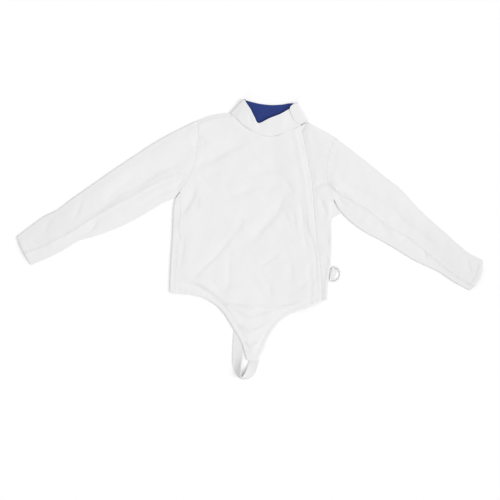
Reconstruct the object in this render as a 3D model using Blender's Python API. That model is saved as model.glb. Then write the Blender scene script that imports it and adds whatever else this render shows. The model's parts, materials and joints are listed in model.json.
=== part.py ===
"""Fencing jacket laid flat on its back, front up, arms spread.

X runs across the jacket, towards the wearer's left arm. Y runs up the jacket, towards the collar.
Z is up from the surface that the jacket lies on. Tables and sizes are in millimetres, measured from
the middle of the jacket's outline, and meshes are made in metres. Left and right are the wearer's.
"""

import math
from collections import namedtuple

import bmesh
import bpy
import numpy as np

MM = 0.001

CLOTH = 1.6  # wall of the jacket's cloth
LINING = 1.2  # wall of the collar lining
TAPE = 1.2  # wall of the zip tape and of the ring's tab
APART = 0.3  # between pieces that lie on each other
SEAM = 0.6  # between pieces that meet at a seam, in plan

EDGE_ROUND = 1.75  # radius of the middle of the wall where cloth turns over at an edge
ON_FLOOR = CLOTH / 2
ON_BACK = ON_FLOOR + CLOTH + APART
AT_EDGE = ON_FLOOR + 2 * EDGE_ROUND
EDGE_INSET = EDGE_ROUND + CLOTH / 2  # from the outline to where the cloth starts to turn over

BODY_PUFF = 1.4
SLEEVE_PUFF = 1.8
NECK_RISE = 1.6

WRAP_LEFT = 14  # the left front goes this far under, at the wearer's left side
UNDERLAP = 34  # the left front runs this far under the fly
ZIP_WIDTH = 24
ZIP_INSET = 19  # from the fly's edge to the middle of the zip
FLY_RISE = CLOTH + TAPE + 2 * APART  # what the left front and the zip lift the fly by

STRAP_WIDTH = 30
STRAP_WALL = 1.6
STRAP_LAP_TOP = -181  # where the strap's sewn end lies on the back panel

RING_WIRE = 4.5
RING_OUTSIDE = 47
RING_CORNER = 4.0  # fillet between the ring's bar and its bow, to the middle of the wire
BOW_CENTRE = 5.8  # from the bar to the centre of the bow
RING_MIDDLE = np.array([244.8, -103.6])  # the middle of the ring's straight bar
RING_TILT = math.radians(13.5)  # of the bar, from the Y axis
BAR_HEIGHT = TAPE + APART + RING_WIRE / 2
TAB_WIDTH = 28
TAB_ROOT = 5.4  # from the bar to the tab's ends, at the jacket's side

WHITE = (0.86, 0.86, 0.865, 1.0)
BLUE = (0.022, 0.05, 0.24, 1.0)
ELASTIC_WHITE = (0.74, 0.74, 0.75, 1.0)
STEEL = (0.62, 0.63, 0.65, 1.0)

SleeveRow = namedtuple("SleeveRow", "top_x top_y under_x under_y seam bow")
CollarRow = namedtuple("CollarRow", "neck_x neck_y top_x top_y neck_z top_z")
NeckRow = namedtuple("NeckRow", "share top_x top_y top_z")
StrapRow = namedtuple("StrapRow", "x y tilt")
FoldRow = namedtuple("FoldRow", "x1 y1 x2 y2 x3 y3 width height lean")

# From armhole to cuff. seam is measured from the lower edge up the front, and bow is how far the row
# curves towards the cuff at its middle.
RIGHT_SLEEVE = [SleeveRow(*row) for row in (
    (-157, 356, -223, 127, 78, -26),
    (-222, 325, -243, 117, 75, -12),
    (-282, 292, -265, 107, 67, -4),
    (-342, 253, -300, 85, 66, 0),
    (-408, 209, -345, 59, 65, 0),
    (-474, 163, -405, 31, 61, 0),
    (-534, 121, -462, 10, 49, 0),
    (-576, 89, -513, -4, 33, 0),
    (-618, 68, -552, -28, 36, 0),
    (-660, 38, -609, -57, 36, 1),
    (-699, 8, -657, -77, 38, 3),
)]
LEFT_SLEEVE = [SleeveRow(*row) for row in (
    (257, 305, 257, 110, 57, -26),
    (300, 272, 270, 88, 50, -12),
    (348, 235, 300, 55, 59, -4),
    (402, 191, 342, 24, 62, 0),
    (456, 148, 390, -2, 49, 0),
    (504, 95, 441, -31, 50, 0),
    (552, 50, 489, -61, 45, 0),
    (591, 16, 531, -81, 32, 2),
    (624, -14, 570, -100, 21, 4),
    (660, -43, 615, -130, 18, 8),
    (699, -63, 661, -154, 15, 13),
)]

# Outlines in plan, each from top to bottom or from the wearer's right to left.
RIGHT_SHOULDER = [(-156, 356), (-118, 370), (-77, 378), (-58, 378)]
FRONT_NECK = [(-58, 378), (-40, 362), (-17, 339), (17, 320), (48, 309), (82, 311), (130, 330),
              (151, 339), (163, 345), (171, 352)]
FLY_TOP = [(171, 352), (163, 337), (155, 322)]
FLY_EDGE = [(155, 322), (158, 310), (161, 296), (167, 268), (176, 223), (185, 172), (189, 118),
            (194, 57), (199, 7), (209, -72), (213, -127), (215, -185)]
RIGHT_SIDE_SEAM = [(-210, 130), (-208, 82), (-213, 34), (-218, -17), (-223, -107), (-226, -162)]
RIGHT_SIDE = [(-226, 120), (-230, 88), (-232, 22), (-237, -56), (-240, -110), (-241, -159)]
LEFT_SIDE_TOP = [(253, 105), (249, 82), (245, 55)]
LEFT_SIDE = [(245, 55), (246, -11), (243, -77), (236, -125), (233, -180)]
LEFT_NECK = [(123, 326), (141, 333), (159, 342), (177, 350)]
LEFT_SHOULDER = [(177, 350), (210, 332), (255, 307)]
BACK_NECK = [(-58, 377), (-21, 356), (12, 348), (54, 345), (102, 346), (145, 349), (177, 350)]
UNDERARM_TOP = [(254, 107), (266, 86), (273, 78)]
UNDERARM_BOTTOM = [(273, 78), (258, 69), (242, 62), (229, 58)]
FRONT_HEM = [(-226, -162), (-176, -167), (-137, -177), (-104, -196)]
TONGUE_RIGHT = [(-104, -196), (-80, -220), (-47, -272), (-32, -297), (-20, -326), (-9, -363)]
TONGUE_END = [(-9, -363), (8, -365), (24, -365)]
TONGUE_LEFT = [(24, -365), (30, -350), (42, -324), (63, -282), (90, -248), (121, -223)]
FLY_HEM = [(121, -223), (180, -200), (215, -185)]
LEFT_HEM = [(181, -196), (215, -187), (233, -180)]
BACK_HEM = [(-241, -159), (-176, -165), (-130, -177), (-78, -199), (24, -204), (129, -201), (218, -182)]

# The front of the collar, from its end under the flap to the wearer's right side. share is how far along
# the front's neckline its lower edge is sewn.
COLLAR_FRONT = [NeckRow(*row) for row in (
    (0.915, 139, 397, 9.0),
    (0.820, 118, 390, 9.5),
    (0.693, 91, 375, 12.0),
    (0.561, 58, 362, 12.5),
    (0.444, 26, 348, 9.0),
    (0.316, 13, 367, 12.5),
    (0.199, 2, 389, 14.5),
    (0.092, -9, 405, 13.5),
    (0.030, -15, 416, 12.0),
)]
COLLAR_BACK = [CollarRow(*row) for row in (
    (-51, 374, -12, 416, ON_FLOOR, ON_FLOOR),
    (-21, 357, 6, 411, ON_FLOOR, ON_FLOOR),
    (12, 349, 33, 405, ON_FLOOR, ON_FLOOR),
    (54, 346, 63, 402, ON_FLOOR, ON_FLOOR),
    (96, 347, 93, 403, ON_FLOOR, ON_FLOOR),
    (138, 350, 118, 407, ON_FLOOR, ON_FLOOR),
    (158, 352, 132, 408, ON_FLOOR, ON_FLOOR),
)]
COLLAR_FLAP = [CollarRow(*row) for row in (
    (168, 353, 141, 406, 11.5, 12.4),
    (155, 345, 130, 404, 11.6, 12.4),
    (142, 347, 122, 398, 11.6, 12.2),
    (131, 357, 118, 388, 11.9, 12.0),
)]
COLLAR_FOLD_RIGHT = [(-60, 379), (-19, 422)]
COLLAR_FOLD_LEFT = [(175, 357), (147, 408)]

# Outer edge of the elastic from the tongue's end, round the loop and back under the tongue. tilt is in
# degrees: the loop's round end stands on this edge.
STRAP = [StrapRow(*row) for row in (
    (29, -344, 0),
    (25, -368, 0),
    (20, -392, 5),
    (7, -414, 30),
    (-10, -421, 62),
    (-26, -418, 75),
    (-42, -406, 56),
    (-51, -387, 38),
    (-53, -357, 10),
    (-52, -334, 0),
    (-51, -311, 0),
    (-48, -269, 0),
    (-43, -212, 0),
    (-41, STRAP_LAP_TOP, 0),
)]

# The main folds of the upper cloth, each through three points. A height below zero is a trough, and
# lean makes one side of it steeper.
FOLDS = [FoldRow(*row) for row in (
    (-192, 236, -340, 171, -488, 65, 19, -4.0, 0.2),
    (-188, 190, -262, 152, -330, 118, 12, 2.6, 0.0),
    (-188, 174, -279, 126, -351, 80, 11, -3.0, 0.3),
    (-496, 141, -507, 107, -530, 53, 11, -2.6, 0.0),
    (-602, 60, -608, 38, -616, 14, 12, -2.2, 0.0),
    (-458, 61, -466, 36, -480, 10, 11, -2.4, 0.0),
    (238, 185, 315, 142, 396, 106, 15, -3.2, -0.2),
    (234, 164, 277, 146, 324, 112, 11, 2.6, 0.0),
    (425, 70, 454, 55, 536, 5, 16, -3.2, 0.2),
    (392, 41, 412, 24, 428, 9, 11, -2.4, 0.0),
    (648, -46, 653, -70, 648, -100, 11, -2.6, 0.0),
    (6, 301, -95, 250, -160, 213, 17, -3.4, -0.3),
    (15, 209, 62, 203, 103, 209, 12, -2.0, 0.0),
    (103, 181, 121, 154, 130, 131, 12, -2.0, 0.0),
    (-72, 121, -15, 145, 43, 163, 13, -2.2, 0.0),
    (107, 135, 72, 73, 6, -12, 16, -3.4, 0.3),
    (-176, -127, -114, -62, -40, 20, 12, -2.6, 0.0),
    (-210, -136, -150, -149, -86, -191, 13, -2.6, 0.0),
    (-171, 190, -172, 127, -208, 68, 12, -3.2, 0.3),
    (167, 126, 168, 58, 183, -7, 11, -2.0, 0.0),
    (213, 126, 222, 96, 231, 66, 11, -2.6, 0.0),
    (217, 34, 229, 10, 238, -12, 10, -2.4, 0.0),
    (-30, -248, 6, -266, 45, -248, 11, 2.2, 0.0),
)]


def smoothstep(value):
    value = np.clip(value, 0.0, 1.0)
    return value * value * (3 - 2 * value)


def resample(line, count):
    """count + 1 points spread evenly along a line of points."""
    line = np.asarray(line, float)
    run = np.concatenate([[0.0], np.cumsum(np.linalg.norm(np.diff(line[:, :2], axis=0), axis=1))])
    at = np.linspace(0, run[-1], count + 1)
    return np.stack([np.interp(at, run, line[:, axis]) for axis in range(line.shape[1])], axis=1)


def through(points, steps=12):
    """A smooth curve through points of any number of columns, steps to a span."""
    points = np.asarray(points, float)
    ends = np.vstack([2 * points[0] - points[1], points, 2 * points[-1] - points[-2]])
    t = np.linspace(0, 1, steps, endpoint=False)[:, None]
    spans = []
    for a, b, c, d in zip(ends, ends[1:], ends[2:], ends[3:]):
        spans.append(0.5 * (2 * b + (c - a) * t + (2 * a - 5 * b + 4 * c - d) * t**2
                            + (3 * b - a - 3 * c + d) * t**3))
    return np.vstack([*spans, points[-1:]])


def curve(points, count):
    return resample(through(points), count)


def joined(*curves):
    """One boundary from curves that start where the last one ended."""
    return np.vstack([curves[0], *(c[1:] for c in curves[1:])])


def distance(points, line):
    """How far each point is from a line of points, signed by its side, and how far along it that is."""
    best = np.full(len(points), np.inf)
    side = np.zeros(len(points))
    along = np.zeros(len(points))
    run = 0.0
    for a, b in zip(line[:-1], line[1:]):
        step = b - a
        length = max(float(np.hypot(*step)), 1e-6)
        t = np.clip((points - a) @ step / length**2, 0, 1)
        off = points - a - t[:, None] * step
        gap = np.hypot(off[:, 0], off[:, 1])
        nearer = gap < best
        best[nearer] = gap[nearer]
        side[nearer] = np.sign(step[0] * off[nearer, 1] - step[1] * off[nearer, 0])
        along[nearer] = run + t[nearer] * length
        run += length
    return best, side, along / run


def folds(points):
    """How far the main folds lift or lower the upper cloth."""
    total = np.zeros(len(points))
    for fold in FOLDS:
        line = curve([(fold.x1, fold.y1), (fold.x2, fold.y2), (fold.x3, fold.y3)], 12)
        gap, side, along = distance(points, line)
        across = gap / fold.width
        taper = np.sin(np.pi * np.clip(along, 0.02, 0.98)) ** 0.6
        total += fold.height * taper * np.exp(-across**2) * (1 + fold.lean * side * across)
    return total


def armhole(rows, side):
    """The armhole seam as a curve from the shoulder to the underarm, moved into the body by SEAM."""
    return sleeve_row(rows, 0.0, np.linspace(0, 1, 25)) + np.array([side * SEAM, 0])


def sleeve_row(rows, row, shares):
    """Points across a sleeve: row runs from 0 at the armhole to 1 at the cuff, shares from edge to edge."""
    table = through([(r.top_x, r.top_y, r.under_x, r.under_y, r.bow) for r in rows])
    at = np.linspace(0, 1, len(table))
    top_x, top_y, under_x, under_y, bow = (np.interp(row, at, table[:, k]) for k in range(5))
    top, under = np.array([top_x, top_y]), np.array([under_x, under_y])
    chord = under - top
    outward = np.array([chord[1], -chord[0]]) / np.hypot(*chord)
    if outward[0] * (rows[-1].top_x - rows[0].top_x) < 0:
        outward = -outward
    shares = np.asarray(shares, float)[:, None]
    return top + shares * chord + 4 * bow * shares * (1 - shares) * outward


def strap_lines():
    """The strap's outer edge and its other edge, as rows of x, y, z in the middle of its wall."""
    table = curve([(r.x, r.y, r.tilt) for r in STRAP], 56)
    outer, tilt = table[:, :2], np.radians(np.maximum(table[:, 2], 0))
    step = np.gradient(outer, axis=0)
    inward = np.stack([step[:, 1], -step[:, 0]], axis=1) / np.linalg.norm(step, axis=1)[:, None]
    inner = outer + STRAP_WIDTH * np.cos(tilt)[:, None] * inward
    returning = np.arange(len(table)) > len(table) // 2
    climb = returning * smoothstep((outer[:, 1] + 216) / 13) * (CLOTH + APART)
    low = STRAP_WALL / 2 + climb
    return (np.column_stack([outer, low]),
            np.column_stack([inner, low + STRAP_WIDTH * np.sin(tilt)]))


def rest_height(points):
    """The lowest that the middle of the upper cloth can lie over the body, on what is under it."""
    y = points[:, 1]
    hem = through(BACK_HEM)
    hem_y = np.interp(points[:, 0], hem[:, 0], hem[:, 1])
    over_back = smoothstep((y - hem_y + 15) / 13)
    outer, inner = strap_lines()
    middle = (outer[:, :2] + inner[:, :2]) / 2
    flat = inner[:, 2] < STRAP_WALL + CLOTH + APART
    over_strap = np.zeros(len(points))
    for leg in (middle[:20][flat[:20]], middle[30:][flat[30:]]):
        gap, _, _ = distance(points, leg)
        over_strap = np.maximum(over_strap, smoothstep((45 - gap) / 18))
    fly = through(FLY_TOP[:-1] + FLY_EDGE)
    fly_x = np.interp(y, fly[::-1, 1], fly[::-1, 0])
    over_zip = smoothstep((points[:, 0] - fly_x + UNDERLAP + 20) / 19)
    return ON_FLOOR + over_back * (CLOTH + APART) + over_strap * (CLOTH + APART) + over_zip * FLY_RISE


def right_front_height(points):
    """Height of the middle of the right front's wall."""
    side, _, _ = distance(points, through(RIGHT_SIDE))
    shoulder, _, _ = distance(points, through(RIGHT_SHOULDER))
    hem, _, _ = distance(points, through(FRONT_HEM + TONGUE_RIGHT[1:] + TONGUE_END[1:]
                                         + TONGUE_LEFT[1:] + FLY_HEM[1:]))
    neck, _, _ = distance(points, through(FRONT_NECK))
    fly, _, _ = distance(points, through(FLY_EDGE))
    below_hem = smoothstep((-150 - points[:, 1]) / 60)
    held = smoothstep(shoulder / 16) * smoothstep(hem / 26)
    round_side = 1 - smoothstep((side - 4) / 30)
    puff = BODY_PUFF * smoothstep(side / 60) * smoothstep(fly / 40)
    rise = NECK_RISE * (1 - smoothstep((neck - 4) / 45))
    lift = (AT_EDGE - ON_BACK) * np.maximum(held, round_side) * (1 - 0.6 * below_hem)
    free = smoothstep(side / 24) * held * smoothstep(fly / 22)
    low = rest_height(points)
    return np.maximum(low + lift + (puff + rise) * held + free * folds(points), low)


def left_front_height(points):
    """Height of the middle of the left front's wall: flat under the fly, and soft beyond it."""
    side, _, _ = distance(points, through(LEFT_SIDE))
    armpit, _, _ = distance(points, through(LEFT_SIDE_TOP))
    shoulder, _, _ = distance(points, through(LEFT_NECK[2:] + LEFT_SHOULDER[1:]))
    fly = through(FLY_TOP[:-1] + FLY_EDGE)
    fly_x = np.interp(points[:, 1], fly[::-1, 1], fly[::-1, 0])
    past_fly = smoothstep((points[:, 0] - fly_x - 3) / 20)
    hem = smoothstep((points[:, 1] + 186) / 26)
    held = past_fly * smoothstep(shoulder / 16) * smoothstep(armpit / 16)
    round_side = (1 - smoothstep((side - 4) / 14)) * (points[:, 1] < 58)
    lift = (AT_EDGE - ON_BACK) * np.maximum(held * hem, round_side)
    free = held * hem * smoothstep(side / 18)
    low = np.full(len(points), ON_BACK)
    return np.maximum(low + lift + free * (BODY_PUFF + folds(points)), low)


def patch(top, bottom, left, right):
    """A grid of points in plan between four boundaries that share their corners."""
    rows, columns = len(left), len(top)
    v = np.linspace(0, 1, rows)[:, None, None]
    u = np.linspace(0, 1, columns)[None, :, None]
    top, bottom, left, right = top[None], bottom[None], left[:, None], right[:, None]
    between = (1 - v) * top + v * bottom + (1 - u) * left + u * right
    corners = ((1 - u) * (1 - v) * top[:, :1] + u * (1 - v) * top[:, -1:]
               + (1 - u) * v * bottom[:, :1] + u * v * bottom[:, -1:])
    return between - corners


def raised(grid, height):
    """The same grid of plan points with its heights."""
    flat = grid.reshape(-1, 2)
    z = height(flat) if callable(height) else np.full(len(flat), float(height))
    return np.concatenate([flat, z[:, None]], axis=1).reshape(*grid.shape[:2], 3)


def turned_over(edge, outward, end, height):
    """Columns that carry a grid's edge column round a rounded edge, then flat on to a line in plan.

    edge holds the last points before the turn, outward the way out of the outline at each of them, end
    the plan points where the cloth stops, and height gives its height past the turn.
    """
    flat = [edge[:, :2] + share * (end - edge[:, :2]) for share in (0.0, 0.5, 1.0)]
    past = [raised(line[:, None], height)[:, 0] for line in flat]
    columns = []
    for angle in np.linspace(0, math.pi, 5)[1:-1]:
        share = (1 - math.cos(angle)) / 2
        plan = edge[:, :2] + EDGE_ROUND * math.sin(angle) * outward
        z = edge[:, 2] + share * (past[0][:, 2] - edge[:, 2])
        columns.append(np.column_stack([plan, z]))
    return np.stack([*columns, *past], axis=1)


def with_turn(grid, turn, first, at_left):
    """A grid with the columns of a turn added on one side, from row first down, and which cells are cloth."""
    edge = grid[:, 0] if at_left else grid[:, -1]
    above = turn[:1] + (edge[:first] - edge[first])[:, None]
    added = np.concatenate([above, turn], axis=0)
    present = np.ones((len(grid) - 1, grid.shape[1] + turn.shape[1] - 1), bool)
    if at_left:
        present[:first, :turn.shape[1]] = False
        return np.concatenate([added[:, ::-1], grid], axis=1), present
    present[:first, -turn.shape[1]:] = False
    return np.concatenate([grid, added], axis=1), present


def normals(grid):
    """A unit normal at each point of a grid of points."""
    normal = np.cross(np.gradient(grid, axis=0), np.gradient(grid, axis=1))
    return normal / np.linalg.norm(normal, axis=2, keepdims=True)


def walled(name, grid, wall, material, present=None):
    """An object whose wall has the grid in its middle. present marks which cells of the grid are cloth."""
    rows, columns = grid.shape[:2]
    if present is None:
        present = np.ones((rows - 1, columns - 1), bool)
    offset = normals(grid) * wall / 2
    points = np.vstack([(grid + offset).reshape(-1, 3), (grid - offset).reshape(-1, 3)]) * MM
    shift = rows * columns
    quads = []
    for i, j in zip(*np.nonzero(present)):
        corner = int(i * columns + j)
        quads.append((corner, corner + columns, corner + columns + 1, corner + 1))
    edges = {(a, b) for quad in quads for a, b in zip(quad, quad[1:] + quad[:1])}
    faces = quads + [tuple(shift + k for k in reversed(quad)) for quad in quads]
    faces += [(b, a, shift + a, shift + b) for a, b in sorted(edges) if (b, a) not in edges]
    used = sorted({k for face in faces for k in face})
    renumbered = {old: new for new, old in enumerate(used)}
    mesh = bpy.data.meshes.new(name)
    mesh.from_pydata([tuple(points[k]) for k in used], [],
                     [tuple(renumbered[k] for k in face) for face in faces])
    return finished(name, mesh, material)


def finished(name, mesh, material):
    """An object for a closed mesh, its faces turned outwards and shaded smooth."""
    shell = bmesh.new()
    shell.from_mesh(mesh)
    if shell.calc_volume(signed=True) < 0:
        bmesh.ops.reverse_faces(shell, faces=shell.faces)
    shell.to_mesh(mesh)
    shell.free()
    mesh.shade_smooth()
    mesh.set_sharp_from_angle(angle=math.radians(50))
    mesh.materials.append(material)
    obj = bpy.data.objects.new(name, mesh)
    bpy.context.collection.objects.link(obj)
    return obj


def finish(name, colour, roughness, metallic=0.0):
    material = bpy.data.materials.new(name)
    material.use_nodes = True
    surface = material.node_tree.nodes["Principled BSDF"]
    surface.inputs["Base Color"].default_value = colour
    surface.inputs["Roughness"].default_value = roughness
    surface.inputs["Metallic"].default_value = metallic
    material.diffuse_color = colour
    return material


def side_normals(line, side):
    """Unit vectors in plan that point out of the jacket's outline along one of its sides."""
    step = np.gradient(line, axis=0)
    out = np.stack([-step[:, 1], step[:, 0]], axis=1) * side
    return out / np.linalg.norm(out, axis=1)[:, None]


def make_back(material):
    """The back panel, flat on the floor, which turns up on to the front at the wearer's right side."""
    right_armhole = curve(armhole(RIGHT_SLEEVE, 1), 8)
    side = curve(RIGHT_SIDE, 13)
    out = side_normals(side, -1)
    left = joined(right_armhole, side - EDGE_INSET * out)
    left[8] = side[0] - EDGE_INSET * out[0]
    seam = curve([(x - WRAP_LEFT - SEAM, y) for x, y in LEFT_SIDE], 10)
    seam[0] = UNDERARM_BOTTOM[-1]
    left_armhole = curve(armhole(LEFT_SLEEVE, -1)[:-1], 8)
    left_armhole[-1] = UNDERARM_TOP[0]
    right = joined(left_armhole, curve(UNDERARM_TOP, 1), curve(UNDERARM_BOTTOM, 2), seam)
    top = joined(curve(RIGHT_SHOULDER, 4), curve(BACK_NECK, 9), curve(LEFT_SHOULDER, 4))
    top[0], top[-1] = left[0], right[0]
    bottom = curve([left[-1], *BACK_HEM[1:-1], right[-1]], len(top) - 1)
    grid = raised(patch(top, bottom, left, right), ON_FLOOR)
    seam_line = curve(RIGHT_SIDE_SEAM, 13) - [SEAM / 2, 0]
    turn = turned_over(grid[8:, 0], out, seam_line, right_front_height)
    grid, present = with_turn(grid, turn, 8, at_left=True)
    return walled("back", grid, CLOTH, material, present)


def make_right_front(material):
    """The wearer's right front: side seam, armhole, neck, fly edge, and the hem with the crotch tongue."""
    hole = curve(armhole(RIGHT_SLEEVE, 1)[:23], 10)
    left = joined(hole, curve([tuple(hole[-1]), *RIGHT_SIDE_SEAM], 16) + [SEAM / 2, 0])
    top = joined(curve(RIGHT_SHOULDER, 6), curve(FRONT_NECK, 18))
    right = joined(curve(FLY_TOP, 2), curve(FLY_EDGE, 24))
    bottom = joined(curve(FRONT_HEM, 6), curve(TONGUE_RIGHT, 6), curve(TONGUE_END, 2),
                    curve(TONGUE_LEFT, 6), curve(FLY_HEM, 4))
    left[0], left[-1] = top[0], bottom[0]
    top[-1], bottom[-1] = right[0], right[-1]
    grid = raised(patch(top, bottom, left, right), right_front_height)
    return walled("front_right", grid, CLOTH, material)


def make_left_front(material):
    """The wearer's left front: flat under the fly, and turned under at the side."""
    hole = curve(armhole(LEFT_SLEEVE, -1)[:-1], 8)
    armpit = curve(LEFT_SIDE_TOP, 3)
    hole[-1] = armpit[0]
    side = curve(LEFT_SIDE, 12)
    out = side_normals(side, 1)
    edge = side - EDGE_INSET * out
    armpit[-1] = edge[0]
    right = joined(hole, armpit, edge)
    left = curve([LEFT_NECK[0], *[(x - UNDERLAP, y) for x, y in FLY_EDGE[1:]]], len(right) - 1)
    left[-1] = LEFT_HEM[0]
    top = joined(curve(LEFT_NECK, 5), curve(LEFT_SHOULDER, 6))
    bottom = curve([*LEFT_HEM[:-1], tuple(right[-1])], len(top) - 1)
    top[0], top[-1] = left[0], right[0]
    grid = raised(patch(top, bottom, left, right), left_front_height)
    first = len(hole) + len(armpit) - 2
    turn = turned_over(grid[first:, -1], out, edge - (WRAP_LEFT - EDGE_INSET) * out, ON_FLOOR)
    grid, present = with_turn(grid, turn, first, at_left=False)
    return walled("front_left", grid, CLOTH, material, present)


def make_sleeve(side, rows, material):
    """The two pieces of a sleeve, a flattened tube split at its front and its back seam."""
    pieces = {"top": [], "under": []}
    seams = through([(r.seam,) for r in rows])[:, 0]
    turn = np.linspace(0, math.pi, 5)
    for row in np.linspace(0, 1, 22):
        ends = sleeve_row(rows, row, [0, 1])
        width = float(np.linalg.norm(ends[1] - ends[0]))
        seam = float(np.interp(row, np.linspace(0, 1, len(seams)), seams))
        back_seam = 0.7 * width
        front_seam = width - seam

        def upper(along):
            plan = sleeve_row(rows, row, along / width)
            inside = np.minimum(along, width - along) - EDGE_INSET
            soft = smoothstep(inside / 30)
            return np.maximum(AT_EDGE + soft * (SLEEVE_PUFF + folds(plan)), ON_BACK)

        edges = upper(np.array([EDGE_INSET, width - EDGE_INSET]))
        rise = (1 - np.cos(turn)) / 2
        far = np.linspace(EDGE_INSET, front_seam - SEAM / 2, 10)
        near = np.linspace(front_seam + SEAM / 2, width - EDGE_INSET, 5)
        sections = {
            "top": (
                np.concatenate([far[::-1], EDGE_INSET - EDGE_ROUND * np.sin(turn[1:-1]),
                                np.linspace(EDGE_INSET, back_seam - SEAM / 2, 4)]),
                np.concatenate([upper(far[::-1]), edges[0] + rise[1:-1] * (ON_FLOOR - edges[0]),
                                np.full(4, ON_FLOOR)]),
            ),
            "under": (
                np.concatenate([near, width - EDGE_INSET + EDGE_ROUND * np.sin(turn[1:-1]),
                                np.linspace(width - EDGE_INSET, back_seam + SEAM / 2, 3)]),
                np.concatenate([upper(near), edges[1] + rise[1:-1] * (ON_FLOOR - edges[1]),
                                np.full(3, ON_FLOOR)]),
            ),
        }
        for piece, (along, z) in sections.items():
            pieces[piece].append(np.column_stack([sleeve_row(rows, row, along / width), z]))
    return [walled(f"sleeve_{side}_{piece}", np.array(lines), CLOTH, material)
            for piece, lines in pieces.items()]


def stations(rows, count):
    """Rows of a collar table as count + 1 pairs of points, neck and top edge, spread along the collar."""
    table = curve(rows, count)
    return np.stack([table[:, [0, 1, 4]], table[:, [2, 3, 5]]], axis=1)


def sewn_to_neck(rows):
    """Collar rows whose neck points are on the front's neckline, SEAM above it and as high as it lies."""
    neck = through(FRONT_NECK)
    places = []
    for row in rows:
        run = resample(neck, 400)[round(row.share * 400)]
        top = np.array([row.top_x, row.top_y], float)
        height = float(right_front_height(run[None])[0])
        run = run + (top - run) / np.linalg.norm(top - run) * 2 * SEAM
        places.append(CollarRow(*run, *top, height, row.top_z))
    return places


def folded(first, last, fold):
    """Stations that carry the collar from one station to another round a fold line at the outline."""
    fold = np.array(fold, float)
    step = fold[1] - fold[0]
    out = np.array([-step[1], step[0]]) / np.hypot(*step)
    if (fold[0] - first[0, :2]) @ out < 0:
        out = -out
    reach = ((fold - first[:, :2]) @ out - CLOTH / 2)[:, None]
    made = []
    for angle in np.linspace(0, math.pi, 7)[1:-1]:
        station = first + (1 - math.cos(angle)) / 2 * (last - first)
        station[:, :2] += reach * math.sin(angle) * out
        made.append(station)
    return np.array(made)


def between(station_list, count):
    """A grid with count + 1 rows from the collar's top edge down to its neck seam."""
    shares = np.linspace(1, 0, count + 1)[:, None, None]
    return station_list[None, :, 0] + shares * (station_list[None, :, 1] - station_list[None, :, 0])


def make_collar(material, lining_material):
    """The stand collar: front, round the wearer's right side, and back, its lining, and its closing flap."""
    front = stations(sewn_to_neck(COLLAR_FRONT), 16)
    back = stations(COLLAR_BACK, 12)
    strip = np.concatenate([front, folded(front[-1], back[0], COLLAR_FOLD_RIGHT), back])
    collar = walled("collar", between(strip, 4), CLOTH, material)
    lining = back[:-1].copy()
    lining[:, :, 2] = ON_FLOOR + CLOTH / 2 + APART + LINING / 2
    inside = walled("collar_lining", between(lining, 3), LINING, lining_material)
    flap = stations(COLLAR_FLAP, 5)
    start = flap[:1].copy()
    start[:, :, 2] = ON_FLOOR
    seam = back[-1:] + (start - back[-1:]) * 0.12
    strip = np.concatenate([seam, start, folded(start[0], flap[0], COLLAR_FOLD_LEFT), flap])
    return [collar, inside, walled("collar_flap", between(strip, 4), CLOTH, material)]


def make_zip(material):
    """The zip tape under the fly, lying on the left front."""
    middle = curve([(x - ZIP_INSET, y) for x, y in FLY_EDGE[1:]], 24)[:-1]
    height = ON_BACK + CLOTH / 2 + APART + TAPE / 2
    sides = [raised((middle + [side * ZIP_WIDTH / 2, 0])[:, None], height)[:, 0] for side in (-1, 1)]
    return walled("front_zip", np.stack(sides, axis=1), TAPE, material)


def make_strap(material):
    outer, inner = strap_lines()
    shares = np.linspace(0, 1, 4)[:, None, None]
    return walled("crotch_strap", outer[None] + shares * (inner - outer)[None], STRAP_WALL, material)


def make_ring(material):
    """The D-ring: a straight bar and a round bow with filleted corners, its bow's end down on the floor."""
    bow = (RING_OUTSIDE - RING_WIRE) / 2
    fillet_along = math.sqrt((bow - RING_CORNER) ** 2 - (RING_CORNER - BOW_CENTRE) ** 2)
    meets = math.atan2(fillet_along, RING_CORNER - BOW_CENTRE)
    path = [(BOW_CENTRE + bow * math.cos(a), bow * math.sin(a)) for a in np.linspace(-meets, meets, 25)]
    corner = [(RING_CORNER * (1 + math.cos(a)), fillet_along + RING_CORNER * math.sin(a))
              for a in np.linspace(meets, math.pi, 6)[1:]]
    bar = [(0.0, fillet_along * share) for share in (0.33, -0.33)]
    path += corner + bar + [(out, -along) for out, along in reversed(corner)]
    drop = (BAR_HEIGHT - RING_WIRE / 2) / (BOW_CENTRE + bow)
    wire = bpy.data.curves.new("d_ring", "CURVE")
    wire.dimensions = "3D"
    wire.bevel_depth = RING_WIRE / 2 * MM
    wire.bevel_resolution = 2
    spline = wire.splines.new("POLY")
    spline.points.add(len(path) - 1)
    for point, (out, along) in zip(spline.points, path):
        point.co = (out * MM, along * MM, -drop * out * MM, 1.0)
    spline.use_cyclic_u = True
    wire.materials.append(material)
    ring = bpy.data.objects.new("d_ring", wire)
    ring.location = (RING_MIDDLE[0] * MM, RING_MIDDLE[1] * MM, BAR_HEIGHT * MM)
    ring.rotation_euler = (0, 0, -RING_TILT)
    bpy.context.collection.objects.link(ring)
    return ring


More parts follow.
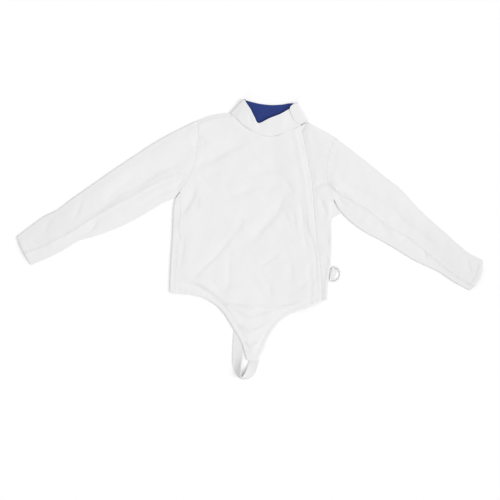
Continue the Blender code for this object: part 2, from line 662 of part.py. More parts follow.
def make_tab(material):
    """The tape loop that holds the ring's bar, open where it is sewn to the jacket's side."""
    over_bar = BAR_HEIGHT + RING_WIRE / 2 + APART + TAPE / 2
    under = TAPE / 2
    loop = curve([(-TAB_ROOT, under), (4, under), (12, under), (13.4, under + 0.8), (12, under + 1.6),
                  (6, 4.4), (3, 6.0), (0, over_bar), (-2.8, 6.2), (-TAB_ROOT, 4.6)], 26)
    loop[:9, 1] = under
    out = np.array([math.cos(RING_TILT), -math.sin(RING_TILT)])
    along = np.array([math.sin(RING_TILT), math.cos(RING_TILT)])
    lines = []
    for place in np.linspace(-TAB_WIDTH / 2, TAB_WIDTH / 2, 3):
        root = -0.064 * place * np.clip(-loop[:, 0] / TAB_ROOT, 0, 1)
        plan = RING_MIDDLE + (loop[:, 0] + root)[:, None] * out + place * along
        lines.append(np.column_stack([plan, loop[:, 1]]))
    return walled("ring_tab", np.array(lines), TAPE, material)


def lowest_and_highest(objects):
    graph = bpy.context.evaluated_depsgraph_get()
    corners = []
    for obj in objects:
        evaluated = obj.evaluated_get(graph)
        mesh = evaluated.to_mesh()
        points = np.empty(len(mesh.vertices) * 3, np.float32)
        mesh.vertices.foreach_get("co", points)
        world = np.array(evaluated.matrix_world)
        corners.append(points.reshape(-1, 3) @ world[:3, :3].T + world[:3, 3])
        evaluated.to_mesh_clear()
    points = np.vstack(corners)
    return points.min(axis=0), points.max(axis=0)


def main():
    for obj in list(bpy.data.objects):
        bpy.data.objects.remove(obj, do_unlink=True)
    white = finish("white_cotton", WHITE, 0.85)
    blue = finish("blue_lining", BLUE, 0.9)
    elastic = finish("white_elastic", ELASTIC_WHITE, 0.8)
    steel = finish("nickel_plated_steel", STEEL, 0.25, 1.0)
    pieces = [make_back(white), make_right_front(white), make_left_front(white)]
    pieces += make_sleeve("right", RIGHT_SLEEVE, white) + make_sleeve("left", LEFT_SLEEVE, white)
    pieces += make_collar(white, blue)
    pieces += [make_zip(white), make_strap(elastic), make_tab(white), make_ring(steel)]
    bpy.context.view_layer.update()
    low, high = lowest_and_highest(pieces)
    middle = bpy.data.objects.new("jacket", None)
    bpy.context.collection.objects.link(middle)
    for piece in pieces:
        piece.parent = middle
    middle.location = (-(low[0] + high[0]) / 2, -(low[1] + high[1]) / 2, -low[2])


main()
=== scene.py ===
"""The looks of a white fencing jacket that is laid flat on its back, front up, with its arms spread.

X runs towards the wearer's left arm, Y towards the collar and Z up from the floor. Left and right are the
wearer's. The jacket's tables and sizes are in millimetres, measured on the floor from the middle of its
outline, and its meshes are made in metres.
"""

import json
import math
from collections import namedtuple

import bpy
import numpy as np
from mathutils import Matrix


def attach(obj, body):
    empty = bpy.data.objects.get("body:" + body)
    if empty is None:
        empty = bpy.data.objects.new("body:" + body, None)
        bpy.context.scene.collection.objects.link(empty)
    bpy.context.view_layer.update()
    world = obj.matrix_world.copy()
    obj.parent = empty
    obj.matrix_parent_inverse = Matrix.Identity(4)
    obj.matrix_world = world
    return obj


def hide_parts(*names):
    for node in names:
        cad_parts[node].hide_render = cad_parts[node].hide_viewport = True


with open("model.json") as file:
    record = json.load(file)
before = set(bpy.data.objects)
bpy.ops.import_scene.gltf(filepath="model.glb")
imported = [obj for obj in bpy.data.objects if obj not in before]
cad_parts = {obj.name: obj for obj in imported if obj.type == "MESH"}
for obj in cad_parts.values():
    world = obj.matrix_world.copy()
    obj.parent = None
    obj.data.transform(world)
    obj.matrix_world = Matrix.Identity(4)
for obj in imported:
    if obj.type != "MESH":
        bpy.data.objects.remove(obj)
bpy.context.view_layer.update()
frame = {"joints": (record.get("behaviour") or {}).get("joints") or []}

# The camera looks straight down, with the collar at the top of the picture. VIEW_WIDTH is how much of
# the floor's width it sees, at the cloth's height.
VIEW_WIDTH = 1.5
VIEW_MIDDLE = (0.0, -0.032)
CAMERA_HEIGHT = 3.0
CLOTH_HEIGHT = 0.006


def add_object(name, data):
    made = bpy.data.objects.new(name, data)
    bpy.context.collection.objects.link(made)
    return made


camera = add_object("camera", bpy.data.cameras.new("camera"))
camera.location = (*VIEW_MIDDLE, CAMERA_HEIGHT)
camera.data.angle = 2 * math.atan(VIEW_WIDTH / 2 / (CAMERA_HEIGHT - CLOTH_HEIGHT))
bpy.context.scene.camera = camera
bpy.context.scene.view_settings.view_transform = "Standard"

# A plain pale studio floor, which the jacket lies on. It is matt and paler than the cloth.
FLOOR_SIZE = 60.0
FLOOR_DROP = 0.0003  # under the jacket's lowest face
FLOOR_COLOUR = "#FBFBFB"


def linear(hex_colour):
    """The linear colour for an sRGB hex colour."""
    parts = [int(hex_colour[k:k + 2], 16) / 255 for k in (1, 3, 5)]
    return (*(p / 12.92 if p <= 0.04045 else ((p + 0.055) / 1.055) ** 2.4 for p in parts), 1.0)


def add_node(tree, kind, inputs=(), **settings):
    """Adds a node with its settings. inputs gives each socket, by name or number, its value or its link."""
    made = tree.nodes.new(kind)
    for name, value in settings.items():
        setattr(made, name, value)
    for name, value in dict(inputs).items():
        if isinstance(value, bpy.types.NodeSocket):
            tree.links.new(value, made.inputs[name])
        else:
            made.inputs[name].default_value = value
    return made


def new_material(name):
    material = bpy.data.materials.new(name)
    material.use_nodes = True
    material.node_tree.nodes.clear()
    return material


def painted_floor():
    """Matt white paint, which gives back nearly all of the light and has no gloss."""
    material = new_material("floor_paint")
    tree = material.node_tree
    surface = add_node(tree, "ShaderNodeBsdfDiffuse", {"Color": linear(FLOOR_COLOUR)})
    add_node(tree, "ShaderNodeOutputMaterial", {"Surface": surface.outputs["BSDF"]})
    return material


half = FLOOR_SIZE / 2
floor_mesh = bpy.data.meshes.new("floor")
floor_mesh.from_pydata([(x * half, y * half, -FLOOR_DROP) for x, y in ((-1, -1), (1, -1), (1, 1), (-1, 1))],
                       [], [(0, 1, 2, 3)])
floor_mesh.materials.append(painted_floor())
add_object("floor", floor_mesh)

# Soft studio light: a broad white ceiling that is dimmer towards the horizon, and one wide softbox to
# the right that slants across the folds.
SKY_OVERHEAD = 1.04
SKY_HORIZON = 0.34
SOFTBOX_STRENGTH = 1.16
SOFTBOX_SPREAD = math.radians(32)
SOFTBOX_FROM = (0.92, -0.16, 0.75)  # the way to the softbox

world = bpy.data.worlds.new("studio")
bpy.context.scene.world = world
world.use_nodes = True
studio = world.node_tree
studio.nodes.clear()
ways = add_node(studio, "ShaderNodeTexCoord")
way = add_node(studio, "ShaderNodeSeparateXYZ", {"Vector": ways.outputs["Generated"]})
sky = add_node(studio, "ShaderNodeMapRange", {
    "Value": way.outputs["Z"], "To Min": SKY_HORIZON, "To Max": SKY_OVERHEAD})
ceiling = add_node(studio, "ShaderNodeBackground", {
    "Color": (1.0, 1.0, 1.0, 1.0), "Strength": sky.outputs["Result"]})
add_node(studio, "ShaderNodeOutputWorld", {"Surface": ceiling.outputs["Background"]})
softbox = add_object("softbox", bpy.data.lights.new("softbox", "SUN"))
softbox.data.energy = SOFTBOX_STRENGTH
softbox.data.angle = SOFTBOX_SPREAD
from_right, from_collar, from_above = SOFTBOX_FROM
softbox.rotation_euler = (math.acos(from_above / math.hypot(*SOFTBOX_FROM)), 0,
                          math.atan2(from_right, -from_collar))

# The wearer's right front, of dense white cotton twill. It is the large one: it crosses the chest to the
# fly edge and runs down into the crotch tongue. Its hem is turned up and topstitched.
MM = 0.001
CLOTH = 1.6  # wall of the jacket's cloth
TAPE = 1.2  # wall of the zip tape and of the ring's tab
APART = 0.3  # between pieces that lie on each other
SEAM = 0.06  # a sewn seam is pulled nearly shut
EDGE_ROUND = 1.75  # radius of the middle of the wall where cloth turns over
ON_FLOOR = CLOTH / 2
ON_BACK = ON_FLOOR + CLOTH + APART
AT_EDGE = ON_FLOOR + 2 * EDGE_ROUND
EDGE_INSET = EDGE_ROUND + CLOTH / 2  # from the outline to where the cloth starts to turn over
BODY_PUFF = 1.4
NECK_RISE = 1.6
SEAM_EASE = 16  # from a sewn edge to where the cloth lies at its full height
UNDERLAP = 34  # of the left front under the fly
FLY_RISE = CLOTH + TAPE + 2 * APART
HEM_STITCH = 8  # from the hem's edge to its row of stitches
EDGE_STITCH = 4  # from the fly's edge to its outer row
ARMHOLE_STITCHES = (3, 9)  # from the armhole to its two rows
ZIP_INSET = 19  # from the fly's edge to the middle of the zip under it
PLACKET_STITCH = 29  # from the fly's edge to the row that holds its facing
WAVER, WAVER_LENGTH = 2.0, 17.0  # how far folds wander from their lines, and how often
RIM_ROUND = 0.35  # how far a cut edge is rounded, of half its wall
RIM_ANGLES = np.radians([90, 45, 0, -45, -90])

SleeveRow = namedtuple("SleeveRow", "top_x top_y under_x under_y seam bow")
Fold = namedtuple("Fold", "x1 y1 x2 y2 x3 y3 height width lean", defaults=(6, 0.5))

RIGHT_SLEEVE = [SleeveRow(*row) for row in (
    (-157, 356, -223, 127, 78, -26),
    (-222, 325, -243, 117, 75, -12),
    (-282, 292, -265, 107, 67, -4),
    (-342, 253, -300, 85, 66, 0),
    (-408, 209, -345, 59, 65, 0),
    (-474, 163, -405, 31, 61, 0),
    (-534, 121, -462, 10, 49, 0),
    (-576, 89, -513, -4, 33, 0),
    (-618, 68, -552, -28, 36, 0),
    (-660, 38, -609, -57, 36, 1),
    (-699, 8, -657, -77, 38, 3),
)]
RIGHT_SHOULDER = [(-156, 356), (-118, 370), (-77, 378), (-58, 378)]
FRONT_NECK = [(-58, 378), (-40, 362), (-17, 339), (17, 320), (48, 309), (82, 311), (130, 330),
              (151, 339), (163, 345), (171, 352)]
FLY_TOP = [(171, 352), (163, 337), (155, 322)]
FLY_EDGE = [(155, 322), (158, 310), (161, 296), (167, 268), (176, 223), (185, 172), (189, 118),
            (194, 57), (199, 7), (209, -72), (213, -127), (215, -185)]
RIGHT_SIDE_SEAM = [(-210, 130), (-208, 82), (-213, 34), (-218, -17), (-223, -107), (-226, -162)]
RIGHT_SIDE = [(-224, 124.5), (-230, 88), (-232, 22), (-237, -56), (-240, -110), (-241, -159)]
FRONT_HEM = [(-226, -162), (-176, -167), (-137, -177), (-104, -196)]
TONGUE_RIGHT = [(-104, -196), (-80, -220), (-47, -272), (-32, -297), (-20, -326), (-9, -363)]
TONGUE_END = [(-9, -363), (8, -365), (24, -365)]
TONGUE_LEFT = [(24, -365), (30, -350), (42, -324), (63, -282), (90, -248), (121, -223)]
FLY_HEM = [(121, -223), (180, -200), (215, -185)]
BACK_HEM = [(-241, -159), (-176, -165), (-130, -177), (-78, -199), (24, -204), (129, -201), (218, -182)]

# Folds, each through three points. A height below zero is a trough. lean makes the wall on the right of
# the fold steeper, or below zero the one on its left. Most folds are narrow, and steeper on their right.
BODY_FOLDS = [Fold(*row) for row in (
    (6, 301, -95, 250, -160, 213, -2.9, 14.3),
    (-158, 216, -146, 226, -120, 240, -1, 6.7),
    (15, 209, 62, 203, 103, 209, -1.8, 10.1, 0.2),
    (103, 181, 121, 154, 130, 131, -1.6, 10.1),
    (-72, 121, -15, 145, 43, 163, -1.8, 10.1, 0.2),
    (107, 135, 72, 73, 6, -12, -2.8, 12.6),
    (-176, -127, -114, -62, -40, 20, -2),
    (-40, 20, -33, 28, -20, 36, -1.2),
    (-210, -136, -150, -149, -86, -191, -4, 10.1, 0.2),
    (-206, -124, -146, -136, -78, -176, 2.2, 9, -0.3),
    (-120, -116, -106, -136, -88, -154, -1.4),
    (-165, 152, -171, 122, -208, 72, -2.8, 9.2),
    (-150, 128, -156, 104, -168, 82, -1.1, 6.7),
    (-169, 308, -166, 290, -165, 266, -1.3),
    (-157, 312, -153, 292, -151, 272, -1.2),
    (-145, 306, -140, 292, -136, 280, -1),
    (167, 126, 168, 58, 183, -7, -1.5, 9.2),
    (168, 54, 184, -4, 187, -50, -1.6),
    (187, -50, 192, -88, 184, -143, -2),
    (184, -143, 184, -160, 184, -178, -1),
    (197, 0, 198, -88, 194, -176, -1.2),
    (213, 126, 222, 96, 231, 66, -2, 8.4),
    (213, 30, 225, 7, 240, -14, -2, 6.7),
    (214, -50, 228, -59, 241, -72, -2),
    (216, -78, 225, -95, 234, -113, -1.6),
    (-46, -210, 18, -233, 92, -213, 3.6, 5.5, 0),
    (-38, -256, 10, -274, 50, -262, 3.8, 5, 0),
    (29, -90, 60, -65, 89, -40, -1.6),
    (30, -92, 40, -110, 50, -130, -0.8),
    (-58, -30, -61, -104, -72, -168, -1.1),
    (-40, 177, -21, 187, 1, 195, -1.4, 7.6, 0.2),
    (-160, 190, -145, 181, -132, 172, -1.5, 6.7),
    (125, 89, 134, 50, 144, 11, -1.4, 7.6),
    (96, 100, 112, 62, 132, 20, -0.9, 6.7),
    (142, -158, 156, -142, 168, -128, -1.1, 6.7),
    (194, 136, 222, 158, 280, 148, 1.8, 10, -0.2),
    (195, 160, 212, 168, 236, 166, -1.2, 6, 0.2),
    (44, 300, 63, 298, 80, 303, -1, 6, 0.2),
    (-26, -302, 6, -318, 32, -312, 3.2, 5, 0),
    (-90, -197, 0, -203, 66, -205, 3.6, 4.5, 0),
    (36, -205, 108, -203, 180, -189, 3.2, 4.5, 0),
    (-213, 34, -211, 12, -214, -14, -1.6),
    (150, 122, 158, 52, 170, -28, -1.7),
    (-196, 20, -202, -30, -206, -84, -1.2, 7, 0.4),
    (-30, 66, -24, 50, -34, 34, -1),
    (64, -128, 58, -150, 66, -176, -1, 6.7),
    (120, -60, 128, -96, 124, -128, -1, 7),
)]


def smoothstep(value):
    value = np.clip(value, 0.0, 1.0)
    return value * value * (3 - 2 * value)


def evenly(line, count):
    """count + 1 points spread evenly along a line of points."""
    line = np.asarray(line, float)
    run = np.concatenate([[0.0], np.cumsum(np.linalg.norm(np.diff(line[:, :2], axis=0), axis=1))])
    at = np.linspace(0, run[-1], count + 1)
    return np.stack([np.interp(at, run, line[:, axis]) for axis in range(line.shape[1])], axis=1)


def through(points, steps=12):
    """A smooth curve through points of any number of columns, steps to a span."""
    points = np.asarray(points, float)
    ends = np.vstack([2 * points[0] - points[1], points, 2 * points[-1] - points[-2]])
    t = np.linspace(0, 1, steps, endpoint=False)[:, None]
    spans = [0.5 * (2 * b + (c - a) * t + (2 * a - 5 * b + 4 * c - d) * t**2 + (3 * b - a - 3 * c + d) * t**3)
             for a, b, c, d in zip(ends, ends[1:], ends[2:], ends[3:])]
    return np.vstack([*spans, points[-1:]])


def curve(points, count):
    return evenly(through(points), count)


def joined(*curves):
    """One line from lines that start where the last one ended."""
    return np.vstack([curves[0], *(c[1:] for c in curves[1:])])


def distance(points, line):
    """How far each point is from a line, on which side of it, and how far along it, in mm."""
    best = np.full(len(points), np.inf)
    side = np.zeros(len(points))
    along = np.zeros(len(points))
    run = 0.0
    for a, b in zip(line[:-1], line[1:]):
        step = b - a
        length = max(float(np.hypot(*step)), 1e-6)
        t = np.clip((points - a) @ step / length**2, 0, 1)
        off = points - a - t[:, None] * step
        gap = np.hypot(off[:, 0], off[:, 1])
        nearer = gap < best
        best[nearer] = gap[nearer]
        side[nearer] = np.sign(step[0] * off[nearer, 1] - step[1] * off[nearer, 0])
        along[nearer] = run + t[nearer] * length
        run += length
    return best, side, along


def folded_by(points, folds):
    """How far folds lift or lower the cloth. Each wavers a little and dies away at both ends."""
    points = points + WAVER * np.sin(points[:, ::-1] / WAVER_LENGTH + [0.4, 1.9])
    total = np.zeros(len(points))
    for fold in folds:
        line = curve([(fold.x1, fold.y1), (fold.x2, fold.y2), (fold.x3, fold.y3)], 12)
        reach = 4 * fold.width
        near = ((points > line.min(axis=0) - reach) & (points < line.max(axis=0) + reach)).all(axis=1)
        gap, side, along = distance(points[near], line)
        right = side if fold.y3 < fold.y1 else -side
        across = gap / fold.width * (1 + fold.lean * right)
        share = along / np.linalg.norm(np.diff(line, axis=0), axis=1).sum()
        taper = np.sin(np.pi * np.clip(share, 0.02, 0.98)) ** 0.6
        total[near] += fold.height * taper * np.exp(-across**1.6)
    return total


def rumpled(points, seed):
    """The cloth's own slight unevenness: broad soft swells and a few short ones, in mm."""
    draw = np.random.default_rng(seed)
    total = np.zeros(len(points))
    for length, height, count in ((150, 0.5, 5), (70, 0.3, 7), (34, 0.14, 9)):
        for _ in range(count):
            turn, phase = draw.uniform(0, math.tau, 2)
            wave = math.tau / (length * draw.uniform(0.8, 1.3))
            ahead = points @ [math.cos(turn), math.sin(turn)]
            beside = points @ [-math.sin(turn), math.cos(turn)]
            bend = 1.2 * np.sin(wave * 0.5 * beside)
            total += height / math.sqrt(count) * np.sin(wave * ahead + phase + bend)
    return total


def puckered(gap, along, reach=9.0, height=0.35):
    """The small waves that a row of stitches draws up beside it."""
    wave = np.sin(along / 2.9 + 1.7 * np.sin(along / 17.0)) * (0.6 + 0.4 * np.sin(along / 31.0))
    return height * wave * np.exp(-(gap / reach) ** 2)


def hem_relief(gap, along, stitch):
    """A turned hem: rounded at its edge and thicker as far as its stitches, which sink in."""
    doubled = 1.1 * smoothstep(gap / 3) * (1 - smoothstep((gap - stitch - 0.5) / 3))
    sunk = -0.4 * np.exp(-((gap - stitch) / 1.6) ** 2)
    return doubled + sunk + puckered(abs(gap - stitch), along)


def sleeve_row(rows, row, shares):
    """Points across a sleeve: row runs from 0 at the armhole to 1 at the cuff, shares from edge to edge."""
    table = through([(r.top_x, r.top_y, r.under_x, r.under_y, r.bow) for r in rows])
    at = np.linspace(0, 1, len(table))
    top_x, top_y, under_x, under_y, bow = (np.interp(row, at, table[:, k]) for k in range(5))
    top, under = np.array([top_x, top_y]), np.array([under_x, under_y])
    chord = under - top
    outward = np.array([chord[1], -chord[0]]) / np.hypot(*chord)
    if outward[0] * (rows[-1].top_x - rows[0].top_x) < 0:
        outward = -outward
    shares = np.asarray(shares, float)[:, None]
    return top + shares * chord + 4 * bow * shares * (1 - shares) * outward


def armhole(rows, side):
    """The armhole seam from the shoulder to the underarm, moved into the body by SEAM."""
    return sleeve_row(rows, 0.0, np.linspace(0, 1, 25)) + np.array([side * SEAM, 0])


StrapRow = namedtuple("StrapRow", "x y inner_x inner_y rise")
STRAP_WALL = 1.6
STANDING = 0.72  # how much of its free height the band keeps where it curls over
STRAP = [StrapRow(*row) for row in (
    (29, -344, -1, -344, 0),
    (27, -367, -3, -367, 0),
    (19, -394, -10, -391, 7),
    (8, -412, -17.5, -405, 14),
    (-11, -421, -23, -412, 26.5),
    (-31, -417, -25, -412, 28.8),
    (-45, -399, -27, -398, 24),
    (-52, -376, -26, -376, 15),
    (-53, -353, -23.5, -353, 6),
    (-52, -331, -22, -331, 0),
    (-51, -311, -21, -311, 0),
    (-48, -269, -18, -268, 0),
    (-43, -212, -13, -210, 0),
    (-41, -181, -11, -180, 0),
)]


def strap_lines(count):
    """The crotch elastic's outer edge and its other edge, as rows of x, y, z in the middle of its wall."""
    table = curve(STRAP, count)
    returning = np.arange(len(table)) > len(table) // 2
    climb = returning * smoothstep((table[:, 1] + 216) / 13) * (CLOTH + APART)
    low = STRAP_WALL / 2 + climb
    return (np.column_stack([table[:, :2], low]),
            np.column_stack([table[:, 2:4], low + STANDING * np.maximum(table[:, 4], 0)]))


def gaps(points, *lines):
    """How far points are from the smooth curve through each line's points."""
    return [distance(points, through(line))[0] for line in lines]


def past_fly_edge(points):
    """How far across the jacket points are past the fly's edge."""
    fly = through(FLY_TOP[:-1] + FLY_EDGE)
    return points[:, 0] - np.interp(points[:, 1], fly[::-1, 1], fly[::-1, 0])


def rest_height(points):
    """The lowest that the middle of the upper cloth can lie over the body, on what is under it."""
    hem = through(BACK_HEM)
    hem_y = np.interp(points[:, 0], hem[:, 0], hem[:, 1])
    over_back = smoothstep((points[:, 1] - hem_y + 42) / 40)
    outer, inner = strap_lines(56)
    middle = (outer[:, :2] + inner[:, :2]) / 2
    flat = inner[:, 2] < STRAP_WALL + CLOTH + APART
    over_strap = np.zeros(len(points))
    for leg in (middle[:20][flat[:20]], middle[30:][flat[30:]]):
        over_strap = np.maximum(over_strap, smoothstep((72 - distance(points, leg)[0]) / 45))
    over_zip = smoothstep((past_fly_edge(points) + UNDERLAP + 70) / 69)
    return ON_FLOOR + over_back * (CLOTH + APART) + over_strap * (CLOTH + APART) + over_zip * FLY_RISE


def right_front_height(points):
    """Height of the middle of the right front's wall."""
    side, shoulder, neck = gaps(points, RIGHT_SIDE, RIGHT_SHOULDER, FRONT_NECK)
    hem, _, hem_run = distance(points, through(FRONT_HEM + TONGUE_RIGHT[1:] + TONGUE_END[1:]
                                               + TONGUE_LEFT[1:] + FLY_HEM[1:]))
    fly, _, fly_run = distance(points, through(FLY_EDGE))
    hole, _, hole_run = distance(points, armhole(RIGHT_SLEEVE, 1))
    below_hem = smoothstep((-150 - points[:, 1]) / 60)
    held = smoothstep(shoulder / SEAM_EASE) * smoothstep(hem / 26)
    round_side = 1 - smoothstep((side - 4) / 30)
    puff = BODY_PUFF * smoothstep(side / 60) * smoothstep(fly / 90)
    rise = NECK_RISE * (1 - smoothstep((neck - 4) / 45))
    lift = (AT_EDGE - ON_BACK) * np.maximum(held, round_side) * (1 - 0.6 * below_hem)
    free = smoothstep(side / 24) * held * smoothstep(fly / 12)
    low = rest_height(points)
    sewn = hem_relief(hem, hem_run, HEM_STITCH) + puckered(hole, hole_run, 14, 0.5)
    faced = smoothstep(fly / 3) * (1 - smoothstep((fly - PLACKET_STITCH - 1) / 3))
    sewn += 0.8 * faced - 0.5 * np.exp(-((fly - PLACKET_STITCH) / 2) ** 2)
    sewn += puckered(abs(fly - PLACKET_STITCH), fly_run, 7, 0.2)
    sewn += 0.5 * np.exp(-abs((fly - ZIP_INSET) / 4) ** 3) * smoothstep((points[:, 1] + 176) / 14)
    loose = free * (folded_by(points, BODY_FOLDS) + rumpled(points, 11))
    return np.maximum(low + lift + (puff + rise) * held + loose, low) + sewn


def patch(top, bottom, left, right):
    """A grid of points in plan between four boundaries that share their corners."""
    v = np.linspace(0, 1, len(left))[:, None, None]
    u = np.linspace(0, 1, len(top))[None, :, None]
    top, bottom, left, right = top[None], bottom[None], left[:, None], right[:, None]
    between = (1 - v) * top + v * bottom + (1 - u) * left + u * right
    corners = ((1 - u) * (1 - v) * top[:, :1] + u * (1 - v) * top[:, -1:]
               + (1 - u) * v * bottom[:, :1] + u * v * bottom[:, -1:])
    return between - corners


def eased(count, ease=0.4):
    """count + 1 shares from 0 to 1, closer together at both ends."""
    t = np.linspace(0, 1, count + 1)
    return t - ease * np.sin(math.tau * t) / math.tau


def closer_at_edges(grid):
    """The same surface with its rows and columns closer together along its edges."""
    for axis in (0, 1):
        last = grid.shape[axis] - 1
        at = eased(last) * last
        low = np.minimum(at.astype(int), last - 1)
        share = (at - low).reshape((-1, 1, 1) if axis == 0 else (1, -1, 1))
        grid = np.take(grid, low, axis) * (1 - share) + np.take(grid, low + 1, axis) * share
    return grid


def raised(grid, height):
    """The same grid of plan points with its heights."""
    flat = grid.reshape(-1, 2)
    z = height(flat) if callable(height) else np.full(len(flat), float(height))
    return np.concatenate([flat, z[:, None]], axis=1).reshape(*grid.shape[:2], 3)


def normals(grid):
    """A unit normal at each point of a grid of points."""
    normal = np.cross(np.gradient(grid, axis=0), np.gradient(grid, axis=1))
    return normal / np.linalg.norm(normal, axis=2, keepdims=True)


# The ring's hinge, which the frame gives, sets the tables' millimetres in the frame.
RING_WIRE = 4.5
RING_MIDDLE = np.array([244.8, -103.6])
BAR_HEIGHT = TAPE + APART + RING_WIRE / 2
SET_IN_FRAME = np.array(frame["joints"][0]["pos_m"]) - np.array([*RING_MIDDLE, BAR_HEIGHT]) * MM


def in_frame(points):
    """Points of the tables' millimetres as points of the frame, in metres."""
    return np.asarray(points, float).reshape(-1, 3) * MM + SET_IN_FRAME


def sewn_shell(name, grid, wall, material, weave, present=None):
    """A closed cloth wall with the grid in its middle and rounded edges.

    weave holds each grid point's place on the flat cloth in mm, and present which cells are cloth.
    """
    rows, columns = grid.shape[:2]
    count = rows * columns
    number = np.arange(count).reshape(rows, columns)
    i, j = np.nonzero(np.ones((rows - 1, columns - 1), bool) if present is None else present)
    quads = np.stack([number[i, j], number[i + 1, j], number[i + 1, j + 1], number[i, j + 1]], axis=1)
    edges = np.vstack([quads[:, [k, (k + 1) % 4]] for k in range(4)])
    rim = edges[~np.isin(edges[:, 1] * count + edges[:, 0], edges[:, 0] * count + edges[:, 1])]
    middle, normal = grid.reshape(-1, 3), normals(grid).reshape(-1, 3)
    outward = np.zeros_like(middle)
    for end in (0, 1):
        step = middle[rim[:, 1]] - middle[rim[:, 0]]
        np.add.at(outward, rim[:, end], np.cross(step, normal[rim[:, end]]))
    outward /= np.maximum(np.linalg.norm(outward, axis=1, keepdims=True), 1e-9)
    rounds = [(wall / 2 * math.sin(a), RIM_ROUND * wall / 2 * (math.cos(a) - 1)) for a in RIM_ANGLES]
    points = np.vstack([middle + rise * normal + reach * outward for rise, reach in rounds])
    last = len(rounds) - 1
    faces = [quads, quads[:, ::-1] + last * count]
    for k in range(last):
        a, b = rim[:, 0] + k * count, rim[:, 1] + k * count
        faces.append(np.stack([b, a, a + count, b + count], axis=1))
    faces = np.vstack(faces)
    used, faces = np.unique(faces, return_inverse=True)
    faces = faces.reshape(-1, 4)
    mesh = bpy.data.meshes.new(name)
    mesh.from_pydata(in_frame(points[used]).tolist(), [], faces.tolist())
    layer = mesh.uv_layers.new(name="UVMap")
    places = np.tile(weave.reshape(-1, 2), (len(rounds), 1))[used] * MM
    layer.data.foreach_set("uv", places[faces.reshape(-1)].astype(np.float32).reshape(-1))
    mesh.shade_smooth()
    mesh.set_sharp_from_angle(angle=math.radians(40))
    mesh.materials.append(material)
    return add_object(name, mesh)


def dress(made, node, body="jacket"):
    """Puts a piece on its body in place of its node, which it hides."""
    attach(made, body)
    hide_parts(node)


TWILL_RIB = 1.4  # mm between the twill's slanting ribs, drawn about twice as wide as the real ones
CLOTH_WHITE = "#ECECEC"
CLOTH_SHADE = "#E8E8E8"
CUFF_GREY = "#E6E6E6"
GREYING = 0.25  # how far it takes, in metres, to turn grey
MIX_A, MIX_B, MIXED = 6, 7, 2  # a colour mix's sockets


def bands(spacing):
    """The scale that sets a wave texture's bands this many mm apart."""
    return math.tau / 20 / (spacing * MM)


def cotton_twill(name, greyed_from=None):
    """Washed white cotton twill: matt, with a faint slanting rib, a soft nap and hardly any unevenness.

    greyed_from is how far along the cloth, in metres, it starts to turn a little greyer towards the cuff.
    """
    material = new_material(name)
    tree = material.node_tree
    place = add_node(tree, "ShaderNodeTexCoord").outputs["UV"]
    slant = add_node(tree, "ShaderNodeMapping", {"Vector": place, "Rotation": (0, 0, math.radians(63))})
    ribs = add_node(tree, "ShaderNodeTexWave", {
        "Vector": slant.outputs["Vector"], "Scale": bands(TWILL_RIB), "Distortion": 0.6, "Detail": 1.0,
        "Detail Scale": 2.0})
    slubs = add_node(tree, "ShaderNodeTexNoise", {"Vector": place, "Scale": 260.0, "Detail": 3.0})
    patches = add_node(tree, "ShaderNodeTexNoise", {"Vector": place, "Scale": 16.0, "Detail": 4.0})
    colour = add_node(tree, "ShaderNodeMix", {
        "Factor": patches.outputs["Fac"], MIX_A: linear(CLOTH_WHITE), MIX_B: linear(CLOTH_SHADE)},
        data_type="RGBA")
    if greyed_from is not None:
        # Past greyed_from the colour turns a little greyer towards the cuff.
        along = add_node(tree, "ShaderNodeSeparateXYZ", {"Vector": place})
        towards_cuff = add_node(tree, "ShaderNodeMapRange", {
            "Value": along.outputs["Y"], "From Min": greyed_from, "From Max": greyed_from + GREYING})
        colour = add_node(tree, "ShaderNodeMix", {
            "Factor": towards_cuff.outputs["Result"], MIX_A: colour.outputs[MIXED], MIX_B: linear(CUFF_GREY)},
            data_type="RGBA")
    fine = add_node(tree, "ShaderNodeBump", {
        "Height": slubs.outputs["Fac"], "Strength": 0.12, "Distance": 0.0004})
    relief = add_node(tree, "ShaderNodeBump", {
        "Height": ribs.outputs["Fac"], "Strength": 0.14, "Distance": 0.0002,
        "Normal": fine.outputs["Normal"]})
    surface = add_node(tree, "ShaderNodeBsdfPrincipled", {
        "Base Color": colour.outputs[MIXED], "Roughness": 0.88, "Specular IOR Level": 0.25,
        "Sheen Weight": 0.12, "Sheen Roughness": 0.5, "Normal": relief.outputs["Normal"]})
    add_node(tree, "ShaderNodeOutputMaterial", {"Surface": surface.outputs["BSDF"]})
    return material


white_twill = cotton_twill("white_cotton_twill")
stitch_rows = []  # each a line of points in mm on the cloth, which the last section sews along


def stitched(line, height):
    """Marks a row of stitches along a line in plan, on the upper face of cloth of that height."""
    stitch_rows.append(np.column_stack([line, height(line) + CLOTH / 2]))


def inside(line, offset):
    """A line in plan moved sideways by offset, to its left as it runs."""
    step = np.gradient(line, axis=0)
    left = np.stack([-step[:, 1], step[:, 0]], axis=1) / np.linalg.norm(step, axis=1)[:, None]
    return line + offset * left


